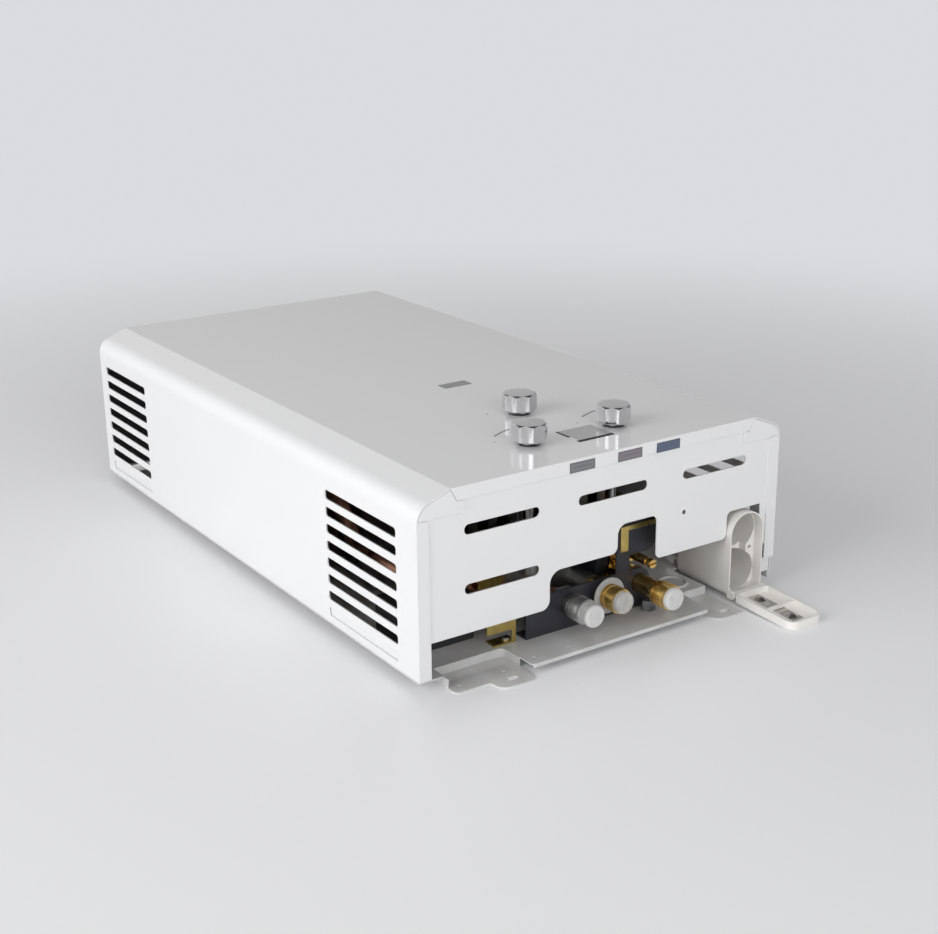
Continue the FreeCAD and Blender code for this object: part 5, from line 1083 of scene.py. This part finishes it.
@dataclass
class Knob:
    """Sizes of the faceted knob, in millimetres.

    Attributes:
        radius: Radius over the round corners.
        facets: Number of flats.
        corner: Corner radius of the polygon that cuts the flats.
        height: Overall height.
        chamfer: Bevel round the top.
        crown: Rise of the top.
        foot: How far the underside draws in.
        foot_rise: Height over which it does.
        hollow: How far the flats dish in.
        dished: Half angle of a flat from which the dish is full, in radians.
        across: Where the outline has points on a flat, from -1 to 1.
        rings: Radii of the rings on the rounded top, as shares of its rim.
        base: Height of its underside.
        crease: Angle in degrees above which its edges stay sharp.
    """

    radius: float = 14.8
    facets: int = 8
    corner: float = 14.9
    height: float = 16.0
    chamfer: float = 1.2
    crown: float = 0.5
    foot: float = 2.4
    foot_rise: float = 1.8
    hollow: float = 0.35
    dished: float = 0.3
    across: tuple[float, ...] = (-1.0, -0.6, -0.2, 0.2, 0.6, 1.0)
    rings: tuple[float, ...] = (0.85, 0.65, 0.4, 0.15)
    base: float = 162.7
    crease: float = 14.0

    def outline(self, radius: float, point: float) -> list[Pair]:
        """Outline of the knob at one height.

        Args:
            radius: Radius over the round corners there.
            point: Where the knob points, in degrees.

        Returns:
            X and Y of its points.
        """
        flat = self.corner * math.cos(math.pi / self.facets)
        half = math.acos(min(1.0, flat / radius))
        reach = radius * math.sin(half)
        points = []
        for k in range(self.facets):
            turn = math.radians(point) + 2 * math.pi * k / self.facets
            for share in self.across:
                out = radius * math.cos(half) - self.hollow * (1 - share ** 2) * min(1.0, half / self.dished)
                side = share * reach
                points.append((out * math.cos(turn) - side * math.sin(turn),
                               out * math.sin(turn) + side * math.cos(turn)))
        return points

    def mesh(self, name: str, middle: Pair, point: float) -> bpy.types.Mesh:
        """Skins the knob from its outlines.

        Args:
            name: The mesh's name.
            middle: X and Y of its axis.
            point: Where it points, in degrees.

        Returns:
            The mesh, in metres.
        """
        rim = self.radius - self.chamfer
        top = self.height - self.crown
        levels = [(self.radius - self.foot, 0.0), (self.radius, self.foot_rise),
                  (self.radius, top - self.chamfer), (rim, top)]
        levels += [(rim * share, top + self.crown * (1 - share ** 2)) for share in self.rings]
        skin = bmesh.new()
        rings = [[skin.verts.new((MM * (middle[0] + x), MM * (middle[1] + y), MM * (self.base + z)))
                  for x, y in self.outline(radius, point)] for radius, z in levels]
        for low, high in zip(rings, rings[1:]):
            for k in range(len(low)):
                following = (k + 1) % len(low)
                skin.faces.new((low[k], low[following], high[following], high[k]))
        skin.faces.new(list(reversed(rings[0])))
        skin.faces.new(rings[-1])
        bmesh.ops.recalc_face_normals(skin, faces=skin.faces)
        mesh = bpy.data.meshes.new(name)
        skin.to_mesh(mesh)
        skin.free()
        return mesh


@dataclass
class Controls(SubAssembly):
    """Three faceted knobs with their collars and spindles.

    Attributes:
        knob: Sizes of a knob.
        middles: X and Y of each knob, and where it points.
    """

    coats = {Slot.CHROME: "gas_knob water_knob season_knob",
             Slot.BLACK: "gas_collar water_collar season_collar",
             Slot.STEEL: "gas_spindle water_spindle season_spindle"}
    knob: Knob = field(default_factory=Knob)
    middles: dict[str, Point] = field(default_factory=lambda: {
        "gas": (-43.0, -256.3, 0.0), "water": (43.5, -256.3, 0.0), "season": (0.3, -183.2, 22.5)})

    def pieces(self) -> None:
        """Skins the three knobs."""
        for name, (x, y, point) in self.middles.items():
            mesh = self.knob.mesh(name + "_grip", (x, y), point)
            mesh.materials.append(self.shop.paint[Slot.CHROME])
            shade(mesh, self.knob.crease)
            self.shop.fit(place(name + "_grip", mesh), name + "_control", Slot.CHROME, name + "_knob")


@dataclass
class Connections(SubAssembly):
    """Fittings with their threads, caps, bracket and drain.

    Attributes:
        axis_z: Height of the three axes.
        tips: X of each axis, Y of the tube end and its finish.
        thread_radius: Radius of the thread's roots.
        thread_depth: Height of its crests.
        thread_pitch: Distance between turns.
        thread_length: Threaded length.
        run_out: Plain length between the tube's end and the thread.
    """

    coats = {Slot.STEEL: "hot_fitting", Slot.BRASS: "gas_fitting cold_fitting drain_screw",
             # connection_bracket's near-black coat is partly painted shade for the dark bay behind the
             # fittings
             Slot.CAP: "hot_cap gas_cap cold_cap gas_disc", Slot.DARK: "connection_bracket",
             Slot.CHROMATED: "valve_shield gold_angle", Slot.GALVANISED: "cover_stud"}
    axis_z: float = 30.0
    tips: dict[str, tuple[float, float, Slot]] = field(default_factory=lambda: {
        "hot": (-27.0, -313.0, Slot.STEEL), "gas": (9.0, -313.0, Slot.BRASS),
        "cold": (47.0, -331.0, Slot.BRASS)})
    thread_radius: float = 10.4
    thread_depth: float = 0.42
    thread_pitch: float = 1.814
    thread_length: float = 11.0
    run_out: float = 0.8

    def pieces(self) -> None:
        """Winds a pipe thread on each fitting."""
        for name, (x, tip, slot) in self.tips.items():
            tree = GeometryTree(name + "_thread", {
                "Radius": self.thread_radius * MM, "Crest": self.thread_depth * MM,
                "Turns": self.thread_length / self.thread_pitch, "Length": self.thread_length * MM})
            helix = tree.spiral(40, tree["Turns"], tree["Radius"], tree["Radius"], tree["Length"])
            turns = tree.sweep(helix, tree.ring(tree["Crest"], corners=4))
            turns = tree.move(turns, turn=(-math.pi / 2, 0.0, 0.0))
            seats = seat_mesh(name + "_seat", [(x, tip + self.run_out, self.axis_z)])
            self.add(tree, name + "_thread", tree.stand(turns), slot, seats=seats, crease=30.0)


@dataclass
class WaterSide(SubAssembly):
    """Water valve with its interlock, and the pipes."""

    coats = {Slot.BRASS: "water_valve_body union_nuts", Slot.DARK: "water_valve_cover",
             Slot.RUBBER: "valve_diaphragm", Slot.STEEL: "thrust_pin", Slot.BLACK: "flow_switch",
             Slot.NICKEL: "switch_lever", Slot.COPPER: "cold_pipe hot_pipe exchanger_tube"}


@dataclass
class GasSide(SubAssembly):
    """Gas valve, burner, exchanger, hood and ignition, with the thin leaves of the fin pack.

    Attributes:
        leaf: Thickness, length and height of a fin leaf.
        leaf_count: Number of leaves.
        leaf_span: Distance over the leaves across X.
        pack_y: Middle of the fin pack.
        pack_z: Its mid height.
        tube_radius: Radius of the holes for the tube.
        tube_pitch: Distance between the passes.
        passes: Places of the passes about the middle, in pitches.
    """

    coats = {Slot.CAST: "gas_valve gas_manifold", Slot.STEEL: "gas_solenoid burner_row overheat_switch",
             Slot.BRASS: "gas_jets", Slot.COPPER: "combustion_chamber fin_pack",
             Slot.GALVANISED: "exhaust_hood core_saddles", Slot.BLACK: "igniter", Slot.CERAMIC: "electrodes"}
    leaf: Point = (0.4, 44.0, 98.4)
    leaf_count: int = 67
    leaf_span: float = 236.8
    pack_y: float = 97.0
    pack_z: float = 74.0
    tube_radius: float = 7.05
    tube_pitch: float = 27.0
    passes: tuple[float, ...] = (-1.5, -0.5, 0.5, 1.5)

    def pieces(self) -> None:
        """Stacks the thin leaves between the frame's fins."""
        thick, length, height = (MM * side for side in self.leaf)
        tree = GeometryTree("fin_leaves", {
            "Thickness": thick, "Length": length, "Height": height, "Count": self.leaf_count,
            "Pitch": MM * self.leaf_span / (self.leaf_count - 1), "Hole": MM * self.tube_radius,
            "Pass": MM * self.tube_pitch})
        sides = tree.vector(tree["Thickness"], tree["Length"], tree["Height"])
        plate = tree.node("GeometryNodeMeshCube", inputs={"Size": sides})
        hole = tree.bar(tree["Hole"], tree["Thickness"] * 4, sides=16)
        hole = tree.move(hole, tree.vector(tree["Thickness"] * -2), (0.0, math.pi / 2, 0.0))
        holes = [tree.move(hole, tree.vector(z=tree["Pass"] * k)) for k in self.passes]
        leaf = tree.carve(plate, tree.join(*holes))
        row = tree.node("GeometryNodeMeshLine", {"mode": "OFFSET"},
                        {"Count": tree["Count"], "Offset": tree.vector(tree["Pitch"])})
        stack = tree.node("GeometryNodeInstanceOnPoints", inputs={"Points": row, "Instance": leaf})
        start = tuple(MM * c for c in (-self.leaf_span / 2, self.pack_y, self.pack_z))
        self.add(tree, "fin_leaves", tree.move(stack, start), Slot.COPPER)


@dataclass
class Wiring(SubAssembly):
    """Insulated leads inside the casing, as soft lines between their ends.

    Attributes:
        radius: Radius of a lead.
        routes: Control points of each lead.
        stand_ins: The CAD node that a lead stands for.
    """

    coats = {Slot.SILICONE: "ignition_lead signal_leads"}
    radius: float = 1.4
    routes: dict[str, tuple[Point, ...]] = field(default_factory=lambda: {
        "spark_lead": ((-120, -228, 38.2), (-120, -228, 120), (-120, -222, 145), (-121, -150, 144.5),
                       (-119, -90, 145), (-112, -66, 145), (-70, -66, 144.5), (-36, -66, 145),
                       (-28, -66, 143), (-28, -66, 137.5)),
        "display_lead": ((1.3, -245, 148.7), (1.3, -245, 132), (-10, -244, 118), (-50, -246, 121),
                         (-92, -243, 117), (-122, -245, 116), (-126, -245, 96), (-126, -245, 38.2)),
        "switch_lead": ((-7.1, -236, 74), (-40, -236, 74.5), (-80, -236, 73.5), (-106, -236, 74),
                        (-114, -236, 66), (-114, -236, 38.2))})
    stand_ins: dict[str, str] = field(default_factory=lambda: {
        "spark_lead": "ignition_lead", "display_lead": "signal_leads"})

    def pieces(self) -> None:
        """Lays the three leads."""
        for name, points in self.routes.items():
            tree = GeometryTree(name, {"Radius": self.radius * MM})
            skin = tree.sweep(tree.seats, tree.ring(tree["Radius"], corners=14))
            nodes = [self.stand_ins[name]] if name in self.stand_ins else []
            self.add(tree, name, skin, Slot.SILICONE, *nodes, seats=route(name, points))


@dataclass
class BatteryBox(SubAssembly):
    """Case for two cells, its door and its contacts.

    Attributes:
        middle_x: X of the cells.
        bottom_y: Y of the bottom of the bores.
        cell_z: Heights of the two cells.
        coil: Wide radius, narrow radius and length of a contact spring.
        wire: Radius of its wire.
        turns: Its turns.
        plate: Radius and thickness of the plate behind it.
    """

    coats = {Slot.WHITE: "battery_case battery_door", Slot.NICKEL: "door_contact cell_contacts"}
    middle_x: float = 146.1
    bottom_y: float = -250.1
    cell_z: Pair = (21.8, 59.2)
    coil: Point = (7.0, 3.0, 7.0)
    wire: float = 0.45
    turns: float = 4.0
    plate: Pair = (9.0, 0.5)

    def pieces(self) -> None:
        """Winds the two conical contact springs on their plates."""
        wide, narrow, length = (MM * size for size in self.coil)
        tree = GeometryTree("cell_spring", {
            "Wide": wide, "Narrow": narrow, "Length": length, "Wire": self.wire * MM, "Turns": self.turns,
            "Plate": self.plate[0] * MM, "Sheet": self.plate[1] * MM})
        coil = tree.spiral(28, tree["Turns"], tree["Wide"], tree["Narrow"], tree["Length"])
        spring = tree.sweep(coil, tree.ring(tree["Wire"], corners=8))
        disc = tree.bar(tree["Plate"], tree["Sheet"], sides=40)
        disc = tree.move(disc, tree.vector(z=tree["Sheet"] * -1))
        item = tree.move(tree.join(spring, disc), turn=(math.pi / 2, 0.0, 0.0))
        seats = seat_mesh("spring_seats", [(self.middle_x, self.bottom_y, z) for z in self.cell_z])
        self.add(tree, "cell_springs", tree.stand(item), Slot.NICKEL, "cell_contacts", seats=seats)


@dataclass
class Fasteners(SubAssembly):
    """Pan-head screws with a cross recess.

    Attributes:
        head: Radius and height of a head.
        steps: Radius and height at each edge of a head, as shares of the head's.
        sides: Faces round a head.
        shank: Radius and length of a shank.
        recess: Width, reach and depth of the cross.
        floor: Seats of the screws that stand on the floor.
        valve: Seats of the screws in the valve housing, facing -X.
        rim: Seats of the screws at the exhaust end, facing +Y.
    """

    coats = {Slot.STEEL: "screws"}
    head: Pair = (3.8, 2.2)
    steps: tuple[Pair, ...] = ((1.0, 0.0), (1.0, 0.45), (0.86, 0.78), (0.55, 1.0))
    sides: int = 28
    shank: Pair = (2.0, 9.0)
    recess: Point = (0.9, 2.3, 1.3)
    floor: tuple[Point, ...] = (
        (-9, -281.4, 9.8), (28, -281.4, 9.8), (-83.8, -281, 9.8), (146.1, -241.2, 11.2), (-113.5, -126, 9.8),
        (113.5, -126, 9.8), (-101, -50, 9.4), (101, -50, 9.4), (-101, 94, 9.4), (101, 94, 9.4))
    valve: tuple[Point, ...] = tuple((30.0, -236 + 20.506 * a, 47 + 20.506 * b)
                                     for a, b in ((1, 1), (-1, 1), (-1, -1), (1, -1)))
    rim: tuple[Point, ...] = ((-177.5, 309, 45), (-177.5, 309, 120), (177.5, 309, 45), (177.5, 309, 120))

    def pieces(self) -> None:
        """Sets one screw on each seat, turned by chance."""
        labels = ("Head", "Height", "Shank", "Length", "Slot", "Reach", "Depth")
        sizes = (size * MM for size in (*self.head, *self.shank, *self.recess))
        tree = GeometryTree("pan_head_screw", {**dict(zip(labels, sizes)), "Seed": 7})
        head, height = tree["Head"], tree["Height"]
        stack = [tree.move(tree.bar(head * low, height * (end - start), self.sides, head * high),
                           tree.vector(z=height * start))
                 for (low, start), (high, end) in zip(self.steps, self.steps[1:])]
        solid = tree.node("GeometryNodeMeshBoolean", {"operation": "UNION"}, {"Mesh 2": tree.join(*stack)})
        bar = tree.node("GeometryNodeMeshCube", inputs={
            "Size": tree.vector(tree["Reach"] * 2, tree["Slot"], tree["Depth"] * 2)})
        cross = tree.join(bar, tree.move(bar, turn=(0.0, 0.0, math.pi / 2)))
        solid = tree.carve(solid, tree.move(cross, tree.vector(z=height)))
        shank = tree.bar(tree["Shank"], tree["Length"], sides=16)
        shank = tree.move(shank, tree.vector(z=tree["Length"] * -1))
        outward = tree.node("GeometryNodeInputNamedAttribute", {"data_type": "FLOAT_VECTOR"},
                            {"Name": "outward"})
        facing = tree.node("FunctionNodeAlignRotationToVector", {"axis": "Z"}, {"Vector": outward})
        spin = tree.node("FunctionNodeRandomValue", {"data_type": "FLOAT"},
                         {2: 0.0, 3: math.pi / 2, "Seed": tree["Seed"]}, 1)
        spin = tree.node("FunctionNodeEulerToRotation", inputs={0: tree.vector(z=spin)})
        facing = tree.node("FunctionNodeRotateRotation", {"rotation_space": "LOCAL"}, {0: facing, 1: spin})
        groups = ((self.floor, (0, 0, 1)), (self.valve, (-1, 0, 0)), (self.rim, (0, 1, 0)))
        seats = seat_mesh("screw_seats", [point for points, _ in groups for point in points],
                          [way for points, way in groups for _ in points])
        screws = tree.stand(tree.join(solid, shank), facing)
        self.add(tree, "pan_head_screws", screws, Slot.STEEL, "screws", seats=seats, crease=28.0)


# ------------ studio
@dataclass
class Lamp:
    """One soft area lamp.

    Attributes:
        name: Its name.
        place: Where it stands, in metres.
        side: Edge length, in metres.
        watts: Its power.
    """

    name: str
    place: Point
    side: float
    watts: float


@dataclass
class Studio:
    """Floor, lamps, world and camera.

    Attributes:
        eye: The camera's place in metres.
        right: The camera's right.
        up: The camera's up.
        lens: Focal length in millimetres.
        sensor: Width of the sensor in millimetres.
        clip: Nearest and farthest distance that it sees, in metres.
        aim: Where the lamps point.
        sky: Strength of the even light from all round.
        ceiling: In reflections, where the dim ceiling starts and is full, as the sine of the
            elevation, and how bright it is.
        walls: How bright the walls are in reflections.
        slant: How much brighter those to the left are.
        strips: Number of bright strips round the walls, their turn in radians, and their strength.
        near: X and Y of the direction that the strips face, and where they start to show.
        backdrop: Colour of the background.
        lamps: The lamps.
        floor_colour: Colour of the floor.
        floor_roughness: Its roughness.
        floor_half: Half its width, in metres.
        fade: Distances at which it starts to fade into the backdrop and has done so.
    """

    eye: Point = (-0.7357, -1.2016, 0.5390)
    right: Point = (0.82826641, -0.56024886, -0.00979652)
    up: Point = (0.18803784, 0.26143883, 0.94672673)
    lens: float = 59.26
    sensor: float = 36.0
    clip: Pair = (0.01, 60.0)
    aim: Point = (0.0, 0.0, 0.08)
    sky: float = 0.39
    ceiling: Point = (0.35, 0.75, 0.10)
    walls: float = 0.70
    slant: float = 0.55
    strips: Point = (16.0, 0.175, 3.5)
    near: Point = (-0.9, -0.43, 0.15)
    backdrop: Colour = (0.70, 0.71, 0.73)
    lamps: tuple[Lamp, ...] = (
        Lamp("key", (-2.6, -0.3, 1.0), 2.0, 50.0), Lamp("fill", (-0.4, -2.8, 0.9), 1.6, 28.0),
        Lamp("top", (0.2, 0.4, 2.4), 2.0, 3.5))
    floor_colour: Colour = (0.90, 0.905, 0.92)
    floor_roughness: float = 0.4
    floor_half: float = 30.0
    fade: Pair = (0.45, 1.6)

    def build(self) -> None:
        """Sets up everything that isn't the heater."""
        self.camera()
        for lamp in self.lamps:
            self.hang(lamp)
        self.world()
        self.floor()
        bpy.context.scene.view_settings.view_transform = "Standard"

    def camera(self) -> None:
        """Places the camera."""
        right, up = Vector(self.right), Vector(self.up)
        back = right.cross(up)
        data = bpy.data.cameras.new("camera")
        data.sensor_fit = "HORIZONTAL"
        data.sensor_width, data.lens = self.sensor, self.lens
        data.clip_start, data.clip_end = self.clip
        camera = place("camera", data)
        turn = Matrix((right, up, back)).transposed().to_4x4()
        camera.matrix_world = Matrix.Translation(Vector(self.eye)) @ turn
        bpy.context.scene.camera = camera

    def hang(self, lamp: Lamp) -> None:
        """Hangs one lamp, which polished surfaces don't mirror.

        Args:
            lamp: The lamp.
        """
        data = bpy.data.lights.new(lamp.name, "AREA")
        data.shape = "SQUARE"
        data.size = lamp.side
        data.energy = lamp.watts
        light = place(lamp.name, data)
        light.location = lamp.place
        light.visible_glossy = False
        towards = Vector(self.aim) - Vector(lamp.place)
        light.rotation_euler = towards.to_track_quat("-Z", "Y").to_euler()

    @staticmethod
    def seen(tree: NodeTree) -> Signal:
        """1 for a ray from the camera, a mirror or a pane."""
        ray = tree.node("ShaderNodeLightPath", output="Is Camera Ray")
        return ray.largest(tree.other(ray, "Is Glossy Ray")).largest(tree.other(ray, "Is Transmission Ray"))

    def world(self) -> None:
        """Lights evenly from all round, with a pale backdrop and a dim ceiling in reflections."""
        world = bpy.data.worlds.new("studio")
        bpy.context.scene.world = world
        world.use_nodes = True
        tree = NodeTree(world.node_tree)
        tree.tree.nodes.clear()
        light = tree.glow("ShaderNodeBackground", (1.0, 1.0, 1.0), self.sky)
        shown = tree.glow("ShaderNodeBackground", self.backdrop)
        both = tree.node("ShaderNodeMixShader", inputs={0: self.seen(tree), 1: light, 2: shown})
        towards = tree.node("ShaderNodeTexCoord", output="Generated")
        across = tree.node("ShaderNodeSeparateXYZ", inputs={0: towards})
        start, end, dim = self.ceiling
        glow = tree.node("ShaderNodeMapRange", {"interpolation_type": "SMOOTHSTEP"},
                         {0: tree.other(across, "Z"), 1: start, 2: end, 3: self.walls, 4: dim})
        glow = glow * (1 - across * self.slant)
        ahead = tree.other(across, "Y")
        count, turn, power = self.strips
        azimuth = tree.node("ShaderNodeMath", {"operation": "ARCTAN2"}, {0: ahead, 1: across})
        strip = (azimuth * count + turn).sine().largest(0.0) ** 2.0
        x, y, least = self.near
        glow = glow * (1 + strip * (across * x + ahead * y - least).largest(0.0) * power)
        mirrored = tree.glow("ShaderNodeBackground", (1.0, 1.0, 1.0), glow)
        gloss = tree.node("ShaderNodeLightPath", output="Is Glossy Ray")
        both = tree.node("ShaderNodeMixShader", inputs={0: gloss, 1: both, 2: mirrored})
        tree.node("ShaderNodeOutputWorld", inputs={0: both})

    def floor(self) -> None:
        """Lays the pale floor, which fades into the backdrop."""
        mesh = bpy.data.meshes.new("floor")
        half = self.floor_half
        mesh.from_pydata([(-half, -half, 0), (half, -half, 0), (half, half, 0), (-half, half, 0)],
                         [], [(0, 1, 2, 3)])
        floor = place("floor", mesh)
        tree = ShaderTree("pale_floor", {"Base Color": self.floor_colour, "Roughness": self.floor_roughness})
        away = tree.node("ShaderNodeVectorMath", {"operation": "LENGTH"}, {0: tree.place}, "Value")
        fade = tree.node("ShaderNodeMapRange", {"interpolation_type": "SMOOTHSTEP"},
                         {0: away, 1: self.fade[0], 2: self.fade[1]})
        glow = tree.glow("ShaderNodeEmission", self.backdrop)
        both = tree.node("ShaderNodeMixShader", inputs={
            0: fade * self.seen(tree), 1: Signal(tree, tree.shader.outputs[0]), 2: glow})
        tree.tree.links.new(both.socket, tree.output.inputs[0])
        mesh.materials.append(tree.material)


def corners(bounds: Iterable[Iterable[float]]) -> list[list[float]]:
    """The two corners of a box as lists of plain numbers."""
    return [[float(c) for c in corner] for corner in bounds]


def main(packed: Mapping[str, object]) -> None:
    """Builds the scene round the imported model.
    """
    logging.basicConfig(level=logging.INFO, format="%(name)s: %(message)s")
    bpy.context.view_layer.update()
    Studio().build()
    shop = Workshop(packed)
    for group in (Casing, Controls, Connections, WaterSide, GasSide, Wiring, BatteryBox, Fasteners):
        group(shop).build()


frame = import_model()

if __name__ == "__main__":
    main(frame)
